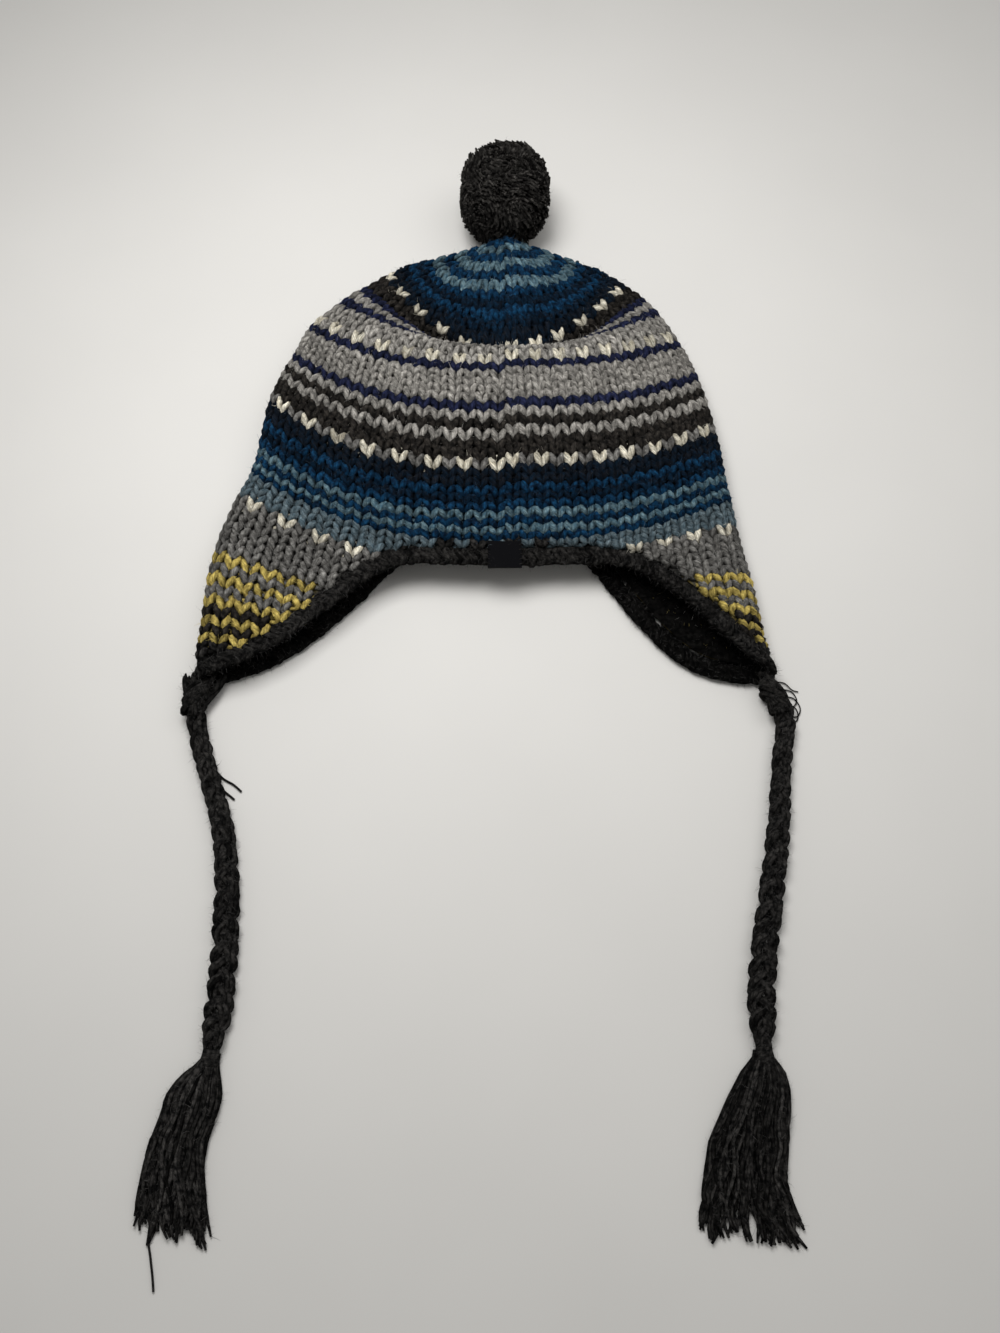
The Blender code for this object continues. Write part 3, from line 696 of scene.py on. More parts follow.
def new_tree(name, sockets):
    """Geometry tree with a mesh in, a mesh out, and the named inputs."""
    tree = bpy.data.node_groups.new(name, 'GeometryNodeTree')
    tree.interface.new_socket("Geometry", in_out='INPUT', socket_type='NodeSocketGeometry')
    for socket_name, kind, default in sockets:
        socket = tree.interface.new_socket(
            socket_name, in_out='INPUT', socket_type="NodeSocket" + kind)
        if default is not None:
            socket.default_value = default
    tree.interface.new_socket("Geometry", in_out='OUTPUT', socket_type='NodeSocketGeometry')
    maker = Maker(tree)
    return maker, maker.node("NodeGroupInput")


def end_tree(maker, geometry, material):
    """Realized, above the table, smooth, with its material, as every tree ends."""
    real = maker.node("GeometryNodeRealizeInstances", {}, {"Geometry": geometry})["Geometry"]
    place = maker.parts(maker.position())
    height = maker.node("ShaderNodeMath", {"operation": 'MAXIMUM'}, {
        0: place["Z"], 1: FLOOR_GAP})["Value"]
    laid = maker.moved(real, Position=maker.vector(place["X"], place["Y"], height))
    smooth = maker.node("GeometryNodeSetShadeSmooth", {}, {"Geometry": laid})["Geometry"]
    done = maker.node("GeometryNodeSetMaterial", {}, {"Geometry": smooth, "Material": material})
    maker.node("NodeGroupOutput", {}, {"Geometry": done["Geometry"]})
    return maker.tree


def tube(maker, curve, radius, sides):
    """Tube round a curve, with the direction round it stored as rim.

    Crease is stored too, the mask of painted shade at the sides of the legs: how far each place
    on the tube turns away from the side that the attribute face says is out, or 0 where the curve has
    no such attribute.
    """
    ring = maker.node("GeometryNodeCurvePrimitiveCircle", {}, {"Resolution": sides, "Radius": 1.0})
    marked = maker.store(ring["Curve"], "rim", 'FLOAT_VECTOR', maker.position())
    mesh = maker.node("GeometryNodeCurveToMesh", {}, {
        "Curve": curve, "Profile Curve": marked, "Scale": radius, "Fill Caps": True})["Mesh"]
    face = maker.attribute("face", 'FLOAT_VECTOR')
    outward = maker.node("ShaderNodeVectorMath", {"operation": 'DOT_PRODUCT'}, {
        0: maker.node("GeometryNodeInputNormal")["Normal"], 1: face})["Value"]
    length = maker.node("ShaderNodeVectorMath", {"operation": 'LENGTH'}, {0: face})["Value"]
    return maker.store(mesh, "crease", 'FLOAT', length - outward)


def yarn_tree():
    """Tubes of yarn along the edges of a mesh, as thick as its attribute fat says."""
    maker, given = new_tree("Yarn", (("Sides", "Int", 7), ("Material", "Material", None)))
    curve = maker.node("GeometryNodeMeshToCurve", {}, {"Mesh": given["Geometry"]})["Curve"]
    mesh = tube(maker, curve, maker.attribute("fat"), given["Sides"])
    return end_tree(maker, mesh, given["Material"])


def knit_tree():
    """Loops of knitting: each row's line is swung into stitches and made a yarn.

    Turn is the angle through a stitch. The yarn starts behind and toward the hem, comes
    to the front in a slanting leg, goes behind at its head and comes back the same way.
    """
    maker, given = new_tree("Knitted Rows", (
        ("Yarn Radius", "Float", 0.0015), ("Depth", "Float", 0.0009), ("Sway", "Float", 0.22),
        ("Reach", "Float", 0.8), ("Swell", "Float", 0.2), ("Sides", "Int", 7),
        ("Material", "Material", None)))
    turn = maker.attribute("turn")
    across = maker.attribute("across", 'FLOAT_VECTOR')
    down = maker.attribute("down", 'FLOAT_VECTOR')
    face = maker.attribute("face", 'FLOAT_VECTOR')
    front = (turn * 2.0).function('COSINE') * -1.0
    sideways = across * ((turn * 2.0).function('SINE') * given["Sway"])
    lengthways = down * (turn.function('COSINE') * given["Reach"])
    outward = face * (front * given["Depth"])
    looped = maker.moved(given["Geometry"], Offset=sideways + lengthways + outward)
    curve = maker.node("GeometryNodeMeshToCurve", {}, {"Mesh": looped})["Curve"]
    radius = (front * given["Swell"] + 1.0) * given["Yarn Radius"] * maker.attribute("fat")
    mesh = tube(maker, curve, radius, given["Sides"])
    return end_tree(maker, mesh, given["Material"])


# A loose fibre: how far it tapers, bends and droops, as shares of its length, how far it
# swings from the way that the yarn faces, in radians, and its shortest and longest
FIBRE_TAPER = 0.8
FIBRE_BEND = 0.45
FIBRE_DROOP = 0.25
FIBRE_SWING = (1.1, 1.1, 3.14)
FIBRE_LENGTHS = (0.35, 1.25)


def fibre_ribbon(maker, width):
    """One bent, tapering ribbon, a unit long."""
    grid = maker.node("GeometryNodeMeshGrid", {}, {
        "Size X": width, "Size Y": 1.0, "Vertices X": 2, "Vertices Y": 3})["Mesh"]
    place = maker.parts(maker.position())
    height = place["Y"] + 0.5
    return maker.moved(grid, Position=maker.vector(
        place["X"] * (1.0 - height * FIBRE_TAPER), height ** 2.0 * FIBRE_BEND,
        height - height ** 3.0 * FIBRE_DROOP))


def fibre_tree():
    """Loose fibres on a piece of yarn: bent ribbons that stand off it in all directions."""
    maker, given = new_tree("Fibres", (
        ("Length", "Float", 0.004), ("Width", "Float", 0.0001), ("Density", "Float", 90000.0),
        ("Seed", "Int", 1), ("Material", "Material", None)))
    points = maker.node("GeometryNodeDistributePointsOnFaces", {"distribute_method": 'RANDOM'}, {
        "Mesh": given["Geometry"], "Density": given["Density"], "Seed": given["Seed"]})
    swing = maker.node("FunctionNodeRandomValue", {"data_type": 'FLOAT_VECTOR'}, {
        "Min": tuple(-angle for angle in FIBRE_SWING), "Max": FIBRE_SWING,
        "Seed": given["Seed"]})["Value"]
    length = maker.random(*FIBRE_LENGTHS, given["Seed"]) * given["Length"]
    fibres = maker.placed(
        points["Points"], fibre_ribbon(maker, given["Width"]),
        maker.turned(points["Rotation"], swing), maker.vector(1.0, length, length))
    return end_tree(maker, fibres, given["Material"])


# A cut strand of the pompom: the handles of its curve, its tip, how its end narrows, and
# how far it may roll either way
STRAND_HANDLES = ((0.05, 0.0, -0.6), (0.32, 0.0, -0.35))
STRAND_TIP = (0.16, 0.0, 0.0)
STRAND_NARROWING = 0.45
STRAND_BLUNTNESS = 6.0
STRAND_SIDES = 5
HALF_TURN = 3.14


def tuft_tree():
    """Cut strands of yarn set on points, each leaning along the point's own direction."""
    maker, given = new_tree("Cut Strands", (
        ("Length", "Float", 0.01), ("Radius", "Float", 0.0012), ("Seed", "Int", 3),
        ("Material", "Material", None)))
    line = maker.node("GeometryNodeCurvePrimitiveBezierSegment", {}, {
        "Resolution": 3, "Start": (0.0, 0.0, -1.0), "Start Handle": STRAND_HANDLES[0],
        "End Handle": STRAND_HANDLES[1], "End": STRAND_TIP})["Curve"]
    share = maker.node("GeometryNodeSplineParameter")["Factor"]
    width = 1.0 - share ** STRAND_BLUNTNESS * STRAND_NARROWING
    strand = tube(maker, maker.store(line, "along", 'FLOAT', share),
                  width * given["Radius"] / given["Length"], STRAND_SIDES)
    roll = maker.random(-HALF_TURN, HALF_TURN, given["Seed"])
    aimed = maker.node("FunctionNodeAlignRotationToVector", {"axis": 'Z'}, {
        "Vector": maker.attribute("aim", 'FLOAT_VECTOR')})["Rotation"]
    tufts = maker.placed(
        given["Geometry"], strand, maker.turned(aimed, maker.vector(0.0, 0.0, roll)),
        maker.attribute("fat") * given["Length"])
    return end_tree(maker, tufts, given["Material"])


def tree_named(name, build):
    return bpy.data.node_groups.get(name) or build()


# Materials, all with hardly any shine
SPECULAR = 0.05


def material_named(name, build):
    return bpy.data.materials.get(name) or build(name)


def new_material(name, roughness):
    material = bpy.data.materials.new(name)
    material.use_nodes = True
    shader = material.node_tree.nodes["Principled BSDF"]
    shader.inputs["Roughness"].default_value = roughness
    shader.inputs["Specular IOR Level"].default_value = SPECULAR
    return material, shader, Maker(material.node_tree)


def drive(maker, shader, key, value):
    maker.tree.links.new(value.output, shader.inputs[key])


def drive_bump(maker, shader, height, strength, distance):
    bump = maker.node("ShaderNodeBump", {}, {
        "Height": height, "Strength": strength, "Distance": distance})["Normal"]
    drive(maker, shader, "Normal", bump)


def base_colours(name, share):
    """A colour property as a colour with alpha, and a share of it."""
    colour = getattr(bpy.context.scene.hat_colours, name)
    return (*colour, 1.0), (*(value * share for value in colour), 1.0)


# Wool: how often each pattern repeats in a metre, how the ply turns round the yarn, in
# radians a metre, how each pattern shades the yarn, the groove and crease ramps being painted shade,
# where the fleck shows, and the relief
BLOTCH_SCALE = 420.0
FINE_SCALE = 2600.0
PLY_TWIST = 600.0
COMB_ROUND = 4.5
COMB_ALONG = 330.0
COMB_STRAY = 300.0
WOOL_NOISE = {"Detail": 2.0, "Roughness": 0.6}
WOOL_BUMP = 0.0007
Ramp = namedtuple("Ramp", "low low_level high high_level")
STREAK_SHADE = Ramp(0.36, 0.40, 0.64, 1.40)
FINE_SHADE = Ramp(0.30, 0.80, 0.70, 1.15)
GROOVE_PAINTED_SHADE = Ramp(0.0, 0.60, 0.45, 1.0)
CREASE_PAINTED_SHADE = Ramp(0.15, 1.0, 0.95, 0.22)
FLECK_SHOWS = Ramp(0.40, 0.0, 0.60, 1.0)
FLECK_BLOTCH = 0.7
GROOVE_RELIEF = 0.7
FINE_RELIEF = 0.5


def plied(maker, along):
    """Place round the yarn, turned with its ply."""
    rim = maker.parts(maker.painted("rim", "Vector"))
    twist = along * PLY_TWIST
    cosine = twist.function('COSINE')
    sine = twist.function('SINE')
    return rim["X"] * cosine - rim["Y"] * sine, rim["X"] * sine + rim["Y"] * cosine


def wool_material(name):
    """Heathered, plied, fuzzy yarn that takes its colours from the piece, with painted shade in the
    ply's grooves and at the sides of the legs.
    """
    material, shader, maker = new_material(name, roughness=1.0)
    place = maker.object_place()
    along = maker.painted("along", "Fac")
    blotch = maker.noise(place, BLOTCH_SCALE, **WOOL_NOISE)
    fine = maker.noise(place, FINE_SCALE, **WOOL_NOISE)
    ply_x, ply_y = plied(maker, along)
    combed = maker.vector(ply_x * COMB_ROUND, ply_y * COMB_ROUND, along * COMB_ALONG)
    streak = maker.noise(combed + place * COMB_STRAY, 1.0, **WOOL_NOISE)
    groove = ply_x.function('ABSOLUTE')
    # Streak and fine give the yarn's own uneven tone; groove and crease are painted shade in the ply's
    # grooves and at the sides of the legs
    shade = (maker.ramp(streak, STREAK_SHADE) * maker.ramp(fine, FINE_SHADE)
             * maker.ramp(groove, GROOVE_PAINTED_SHADE)
             * maker.ramp(maker.painted("crease", "Fac"), CREASE_PAINTED_SHADE))
    heather = maker.mix(maker.painted("yarn", "Color"), maker.painted("fleck", "Color"),
                        maker.ramp(blotch * FLECK_BLOTCH + streak * (1 - FLECK_BLOTCH), FLECK_SHOWS))
    drive(maker, shader, "Base Color", maker.mix(heather, shade, 1.0, 'MULTIPLY'))
    drive_bump(maker, shader, groove * GROOVE_RELIEF + streak + fine * FINE_RELIEF, 1.0, WOOL_BUMP)
    return material


# Loose fibres: the grey that they pale to, how far, and how often in a metre
FIBRE_PALE = (0.30, 0.30, 0.30, 1.0)
FIBRE_PALENESS = 0.20
FIBRE_SCALE = 900.0


def fibre_material(name):
    """Single loose fibres, coloured as the yarn that they stand off."""
    material, shader, maker = new_material(name, roughness=0.85)
    blotch = maker.noise(maker.object_place(), FIBRE_SCALE)
    yarn = maker.painted("yarn", "Color")
    drive(maker, shader, "Base Color", maker.mix(yarn, FIBRE_PALE, blotch * FIBRE_PALENESS))
    return material


# Weave of the label, in radians a metre, how light its threads are, and its relief
WARP_ACROSS = 14000.0
WEFT_ALONG = 9000.0
WEFT_ACROSS = 7000.0
WEAVE_LIGHT = 2.2
WEAVE_CONTRAST = 0.6
WEAVE_STRENGTH = 0.5
WEAVE_BUMP = 0.00015


def label_material(name):
    """Fine twill of the bare woven label."""
    material, shader, maker = new_material(name, roughness=0.9)
    place = maker.parts(maker.object_place())
    warp = (place["X"] * WARP_ACROSS).function('SINE')
    weft = (place["Y"] * WEFT_ALONG + place["X"] * WEFT_ACROSS).function('SINE')
    weave = warp * weft * 0.5 + 0.5
    base, light = base_colours("label", WEAVE_LIGHT)
    drive(maker, shader, "Base Color", maker.mix(base, light, weave * WEAVE_CONTRAST))
    drive_bump(maker, shader, weave, WEAVE_STRENGTH, WEAVE_BUMP)
    return material


# Clouds on the table top: how often in a metre, how fine, and how much dimmer
CLOUD_SCALE = 9.0
CLOUD_DETAIL = 3.0
CLOUD_DIMNESS = 0.93


def floor_material(name):
    """Smooth pale table top with faint unevenness."""
    material, shader, maker = new_material(name, roughness=0.55)
    cloud = maker.noise(maker.object_place(), CLOUD_SCALE, Detail=CLOUD_DETAIL)
    base, dim = base_colours("floor", CLOUD_DIMNESS)
    drive(maker, shader, "Base Color", maker.mix(base, dim, cloud))
    return material


# Knitting: rows that the edge darkens where the flap is folded under, how far below the
# hem a column may end and still count as ending there, the size of the grey stitches in
# that last row, how far a motif stands off the wall, how much longer a yarn is than its
# row, how tones differ from stitch to stitch, how far a flap's row may pass its edge, and
# the step in which stitches are added to a round
COVERED_ROWS = 2.0
HEM_SLACK = 0.1
SHORT_STITCH = 0.8
MOTIF_LIFT = 0.0006
LOOP_STRETCH = 1.9
STITCH_TONES = 0.14
EDGE_SLACK = 0.4
ROUND_STEP = 8
KNIT_SIDES = 6

# Backing sheet inside the wall: the painted shade of its two sides, its rings, and where they start and
# end
OUTSIDE_PAINTED_SHADE = 0.40
INSIDE_PAINTED_SHADE = 0.20
BACKING_RINGS = 44
BACKING_REACH = (0.03, 0.997)


def colour_of(yarn):
    """Main colour and fleck of a yarn, from the colour properties."""
    colours = bpy.context.scene.hat_colours
    return np.array([(*getattr(colours, name), 1.0) for name in (yarn, yarn + "_fleck")])


def toned(yarn, tone=1.0):
    """Colours of a yarn, lighter or darker, as values for strands."""
    main, fleck = colour_of(yarn)
    return {"yarn": main * tone, "fleck": fleck * tone}


def band_yarn(row):
    return next(band.yarn for band in BANDS if row <= band.last)


def stitch_yarn(row, stitch):
    """Name of the yarn of one stitch, and its size beside its neighbours."""
    edge = hem_rows(np.array([stitch + 0.5]))[0]
    if row == HEM_ROW and edge < HEM_ROW + HEM_SLACK:
        return ("steel_grey", SHORT_STITCH) if stitch % 2 else ("charcoal", 1.0)
    on_left = stitch >= COLUMNS / 2
    under = not sides_of(stitch + 0.5)[1]
    for motif in MOTIFS:
        if motif.row == row and (stitch + motif.left_shift * on_left) % 2 == 0:
            return motif.yarn, 1.0 if under else motif.size
    if under and row > HEM_ROW and edge < row + COVERED_ROWS:
        return "charcoal", 1.0
    return band_yarn(row), 1.0


def row_stitches(row):
    """Stitches in a full round, fewer toward the crown, in even steps."""
    columns = np.arange(0.0, COLUMNS, 0.5)
    points = local_points(columns, np.full(len(columns), row - 0.5))
    girth = np.linalg.norm(np.roll(points, -1, axis=0) - points, axis=1).sum()
    steps = round(girth / bpy.context.scene.hat_knit.stitch_width / ROUND_STEP)
    return min(COLUMNS, max(ROUND_STEP, ROUND_STEP * steps))


def add_row(strands, row, first, last, stitches, random):
    """One knitted row from a first to a last column, as a line ready to be looped."""
    knit = bpy.context.scene.hat_knit
    per = COLUMNS / stitches
    number = round((last - first) / per)
    share = np.arange(number * knit.loop_points + 1) / knit.loop_points
    column = first + share * per
    stitch = np.minimum(share.astype(int), number - 1)
    place = row - 0.5 + knit.jog * (column / COLUMNS - 0.5)
    stray = random.normal(0.0, knit.unevenness, (number + 2, 3))
    stray = stray[stitch] + (stray[stitch + 1] - stray[stitch]) * (share - stitch)[:, None]
    middle, face, across, down = cloth(column + stray[:, 0] * per, place + stray[:, 1])
    yarns, sizes = zip(*(stitch_yarn(row, index + round(first)) for index in range(number)))
    tone = random.normal(1.0, STITCH_TONES, (number, 1, 1))
    colours = (np.array([colour_of(yarn) for yarn in yarns]) * tone)[stitch]
    size = np.array(sizes)[stitch]
    strands.add(
        middle + face * ((size - 1) * MOTIF_LIFT)[:, None], turn=share * 2 * math.pi,
        across=across * per, down=down * size[:, None], face=face,
        fat=1.0 + stray[:, 2], along=along_path(middle) * LOOP_STRETCH,
        yarn=colours[:, 0], fleck=colours[:, 1])


def flap_spans(row):
    """First and last columns of a row on each ear flap, where the row reaches it."""
    columns = np.arange(COLUMNS)
    inside = hem_rows(columns + 0.5) >= row - EDGE_SLACK
    for fold in (round(QUARTER), round(3 * QUARTER)):
        near = [c for c in columns if inside[c] and abs(c + 0.5 - fold) < QUARTER]
        if near:
            yield min(near), max(near) + 1


def knit_piece(name, rows, seed):
    """A piece of knitting from whole rounds, or of flap rows below the hem."""
    random = np.random.RandomState(seed)
    strands = Strands()
    for row in rows:
        whole = row <= HEM_ROW
        stitches = row_stitches(row) if whole else COLUMNS
        for first, last in ((0, COLUMNS),) if whole else flap_spans(row):
            add_row(strands, row, first, last, stitches, random)
    knit = bpy.context.scene.hat_knit
    item = shown_object(name, strands.mesh(name))
    return grow(item, tree_named("Knitted Rows", knit_tree), yarn_radius=knit.yarn_radius,
                depth=knit.loop_depth, sway=knit.loop_sway, reach=knit.loop_reach,
                swell=knit.loop_swell, sides=KNIT_SIDES, material=material_named("wool", wool_material))


def fibres_on(item, name, seed, share=1.0):
    """Loose fibres over a finished piece, as a piece of their own."""
    sizes = bpy.context.scene.hat_fibres
    fuzz = shown_object(name, item.data.copy())
    return grow(fuzz, tree_named("Fibres", fibre_tree), length=sizes.length, width=sizes.width,
                density=sizes.density * share, seed=seed,
                material=material_named("fibre", fibre_material))


def paint(mesh, yarn, share):
    """One yarn's colours on the whole of a mesh, darker by a share of painted shade."""
    for name, colour in zip(("yarn", "fleck"), colour_of(yarn)):
        write_attribute(mesh, name, np.tile(colour * share, (len(mesh.vertices), 1)))


def face_outward(mesh):
    """Merges doubled points and turns all faces outward."""
    build = bmesh.new()
    build.from_mesh(mesh)
    bmesh.ops.remove_doubles(build, verts=build.verts, dist=MERGE_DISTANCE)
    bmesh.ops.recalc_face_normals(build, faces=build.faces)
    build.to_mesh(mesh)
    build.free()


def paint_backing_shade(mesh, rows):
    """The rows' own yarns outside, where the wall's points come first, and charcoal inside, both
    darkened as painted shade.
    """
    lines = [max(1, min(LAST_ROW, math.ceil(row))) for row in rows]
    for index, name in enumerate(("yarn", "fleck")):
        outside = np.array([colour_of(band_yarn(line))[index] for line in lines])
        inside = np.tile(colour_of("charcoal")[index], (len(mesh.vertices) - len(lines), 1))
        write_attribute(mesh, name, np.concatenate((outside * OUTSIDE_PAINTED_SHADE, inside * INSIDE_PAINTED_SHADE)))


def ring_faces(rings, size, first=0, closed=False):
    """Faces between rings of points, and from the last ring to the first if closed."""
    faces = []
    for ring in range(rings if closed else rings - 1):
        upper = first + ring * size
        lower = first + (ring + 1) % rings * size
        for i in range(size):
            after = (i + 1) % size
            faces.append((upper + i, lower + i, lower + after, upper + after))
    return faces


def make_shade_backing():
    """Dark sheet inside the wall, which closes the gaps between the stitches, painted dark as the shade
    seen between them and inside the hat.
    """
    knit = bpy.context.scene.hat_knit
    columns, shares = np.meshgrid(
        np.arange(0.0, COLUMNS, 0.5), np.linspace(*BACKING_REACH, BACKING_RINGS))
    size = columns.shape[1]
    rows = shares.ravel() * hem_rows(columns.ravel())
    middle, face, _, _ = cloth(columns.ravel(), rows)
    middle = middle - face * knit.backing_depth
    middle[:, 2] = np.maximum(middle[:, 2], knit.backing_wall)
    points = np.concatenate((middle[:size].mean(axis=0, keepdims=True), middle))
    top = [(0, 1 + i, 1 + (i + 1) % size) for i in range(size)]
    mesh = bpy.data.meshes.new("knit_backing")
    mesh.from_pydata(points.tolist(), [], top + ring_faces(BACKING_RINGS, size, first=1))
    face_outward(mesh)
    mesh.shade_smooth()
    item = shown_object("knit_backing", mesh)
    wall = item.modifiers.new("Wall", 'SOLIDIFY')
    wall.thickness = knit.backing_wall
    wall.offset = 0.0
    settle(item)
    paint_backing_shade(item.data, [1.0, *rows])
    item.data.materials.append(material_named("wool", wool_material))
    return item


# Crocheted edge: each yarn's way round and how far it lags, in stitches, then its sway,
# its strays, how far it stands out, and its tones
EDGE_SEED = 11
EDGE_YARNS = ((1.0, 0.0), (-1.0, 0.25), (1.0, 0.5))
EDGE_POINTS = 14
EDGE_STEP = 0.02
EDGE_SWAY = 0.42
EDGE_STRAY = 0.10
EDGE_WIDTHS = 0.13
EDGE_FATNESS = 0.16
EDGE_OUT = 0.0004
EDGE_TONE = 0.72
EDGE_TONES = 0.30
EDGE_TONE_LIMITS = (0.2, 1.6)

# Core of the edge, inside its yarns, its charcoal darkened as painted shade
CORE_SIDES = 10
CORE_INSET_WIDE = 0.0012
CORE_INSET_THICK = 0.0014
EDGE_CORE_PAINTED_SHADE = 0.6

# Label, as a share of the room that the frame gives it, and its sewing thread
LABEL_SHARE = 0.86
THREAD_RADIUS = 0.00022
THREAD_PITCH = 0.0022
THREAD_LENGTH = 0.0022
THREAD_INSET = 0.0014
THREAD_SLANT = 0.0006
THREAD_ARCH = 0.0002
THREAD_LIFT = 0.0001
THREAD_POINTS = 7
THREAD_SIDES = 5
THREAD_START = 0.0015
THREAD_END = 0.0010
LABEL_BRINK = 0.0002


def smooth_noise(random, size, span):
    """Random values around zero that change slowly and close in a ring."""
    knots = random.normal(size=max(2, size // span))
    place = np.arange(size) * len(knots) / size
    index = place.astype(int)
    part = 0.5 - 0.5 * np.cos((place - index) * math.pi)
    return knots[index] * (1 - part) + np.roll(knots, -1)[index] * part


def edge_middle(middle, face, past):
    """Middle of the crocheted edge, from points on the hem."""
    return middle - face * ((TRIM_WALL - KNIT_WALL) / 2) + past * (TRIM_GAP + TRIM_WIDTH / 2)


def add_edge_yarn(strands, random, columns, run, stitches, way, lag):
    """One yarn of the crochet, wound over the edge all round the hem."""
    knit = bpy.context.scene.hat_knit
    steps = stitches * EDGE_POINTS

    def stray(spread):
        return spread * smooth_noise(random, steps, EDGE_POINTS)

    share = np.arange(steps) / steps
    turn = way * 2 * math.pi * (share * stitches + lag + stray(EDGE_STRAY))
    sway = EDGE_SWAY * knit.trim_stitch * np.sin(turn * 2)
    column = np.interp(np.mod(share * run[-1] + sway, run[-1]), run, columns)
    middle, face, past = hem_frames(column)
    radius = knit.trim_yarn_radius
    wide = (TRIM_WIDTH / 2 - radius + EDGE_OUT) * (1 + stray(EDGE_WIDTHS)) * np.cos(turn)
    thick = (TRIM_WALL / 2 - radius) * np.sin(turn)
    points = edge_middle(middle, face, past) + past * wide[:, None] + face * thick[:, None]
    tone = np.clip(EDGE_TONE + stray(EDGE_TONES), *EDGE_TONE_LIMITS)[:, None]
    strands.add(points, closed=True, fat=radius * (1 + stray(EDGE_FATNESS)), face=face,
                along=along_path(points), **toned("charcoal", tone))


def make_trim():
    """Crochet round the hem: three yarns wound over the edge, one against the others."""
    columns = np.arange(0.0, COLUMNS, EDGE_STEP)
    middle = hem_frames(columns)[0]
    run = along_path(np.concatenate((middle, middle[:1])))
    columns = np.append(columns, COLUMNS)
    stitches = round(run[-1] / bpy.context.scene.hat_knit.trim_stitch)
    random = np.random.RandomState(EDGE_SEED)
    strands = Strands()
    for way, lag in EDGE_YARNS:
        add_edge_yarn(strands, random, columns, run, stitches, way, lag)
    return yarn_piece("crochet_edge", strands)


def make_trim_core():
    """Solid middle of the crochet, so that no light falls through its stitches, painted dark as the
    shade between them.
    """
    middle, face, past = hem_frames(np.arange(0.0, COLUMNS, 0.5))
    angle = 2 * math.pi * np.arange(CORE_SIDES)[:, None] / CORE_SIDES
    wide = (TRIM_WIDTH / 2 - CORE_INSET_WIDE) * np.cos(angle)
    thick = (TRIM_WALL / 2 - CORE_INSET_THICK) * np.sin(angle)
    points = edge_middle(middle, face, past)[:, None] + past[:, None] * wide + face[:, None] * thick
    mesh = bpy.data.meshes.new("edge_core")
    mesh.from_pydata(points.reshape(-1, 3).tolist(), [],
                     ring_faces(len(middle), CORE_SIDES, closed=True))
    face_outward(mesh)
    return core_piece(mesh, "charcoal", EDGE_CORE_PAINTED_SHADE)


def core_piece(mesh, yarn, shade):
    """A finished mesh as a smooth piece of wool, its yarn's colours darkened by a share as painted
    shade.
    """
    paint(mesh, yarn, shade)
    mesh.shade_smooth()
    mesh.materials.append(material_named("wool", wool_material))
    return shown_object(mesh.name, mesh)


def label_span():
    """Middle and half width of the label."""
    low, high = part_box("label")
    return (low.x + high.x) / 2, (high.x - low.x) / 2 * LABEL_SHARE


def make_label():
    """Bare woven label folded over the edge, narrower than the room the frame gives it."""
    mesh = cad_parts["label"].data.copy()
    middle = label_span()[0]
    for vertex in mesh.vertices:
        vertex.co.x = middle + (vertex.co.x - middle) * LABEL_SHARE
    face_outward(mesh)
    mesh.materials.clear()
    mesh.materials.append(material_named("label_weave", label_material))
    return shown_object("woven_label", mesh)


def thread_points(tree, side, y):
    """One sewing stitch over an end of the label, laid on its surface."""
    middle, half = label_span()
    points = []
    for part in np.linspace(0, 1, THREAD_POINTS):
        out = half - THREAD_INSET + THREAD_LENGTH * part
        inner = middle + side * min(out, half - LABEL_BRINK)
        found = tree.ray_cast(Vector((inner, y + THREAD_SLANT * part, 1.0)), Vector((0, 0, -1)))[0]
        if found is not None:
            lift = THREAD_LIFT + THREAD_ARCH * math.sin(part * math.pi)
            points.append((middle + side * out, found.y, found.z + lift))
    return np.array(points)


def make_label_thread(label):
    """Sewing stitches down both ends of the label."""
    tree = BVHTree.FromPolygons([vertex.co for vertex in label.data.vertices],
                                [face.vertices for face in label.data.polygons])
    low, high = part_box("label")
    strands = Strands()
    for side in (-1, 1):
        for y in np.arange(low.y + THREAD_START, high.y - THREAD_END, THREAD_PITCH):
            points = thread_points(tree, side, y)
            if len(points) > 2:
                strands.add(points, fat=THREAD_RADIUS, along=along_path(points), **toned("charcoal"))
    return yarn_piece("label_thread", strands, THREAD_SIDES)


# Pompom: how square its outline is, how far its skin lies inside the frame's room, how
# strands stray in place, length and way, how its locks lean, and its tones
POMPOM_SEED = 5
POMPOM_SQUARENESS = 2.6
POMPOM_INSET = 0.0018
POMPOM_FLOOR = 0.0008
PLACE_STRAY = 0.02
SKIN_STRAY = 0.012
LEAN_STRAY = 0.16
LEAN_WAVES = 7
WAVE_PULL = 3.4
WAVE_SHARE = 2.2
POMPOM_TONES = 0.42
POMPOM_TONE_LIMITS = (0.30, 2.2)
POMPOM_FATNESS = 0.12
TUFT_SEED = 3
# Size of the pompom's core, and its painted shade
CORE_SIZE = 0.84
POMPOM_CORE_PAINTED_SHADE = 0.35


def ball_points(count, random):
    """Directions spread evenly over a ball, each a little astray."""
    index = np.arange(count) + 0.5
    z = 1 - 2 * index / count
    turn = index * math.pi * (3 - math.sqrt(5))
    flat = np.sqrt(1 - z * z)
    out = np.stack((flat * np.cos(turn), flat * np.sin(turn), z), axis=1)
    return unit(out + random.normal(0.0, PLACE_STRAY, out.shape))


def leaning(out, lean, random):
    """Directions that lean over in locks, along the ball's skin."""
    waves = np.zeros_like(out)
    for _ in range(LEAN_WAVES):
        pull = random.normal(0.0, WAVE_PULL, 3)
        push = random.normal(0.0, 1.0, 3)
        waves += push * np.sin(out @ pull + random.uniform(0, ROUND_TURN))[:, None]
    waves -= out * (waves * out).sum(axis=1)[:, None]
    return unit(out + (lean * waves / WAVE_SHARE + random.normal(0.0, LEAN_STRAY, out.shape)))


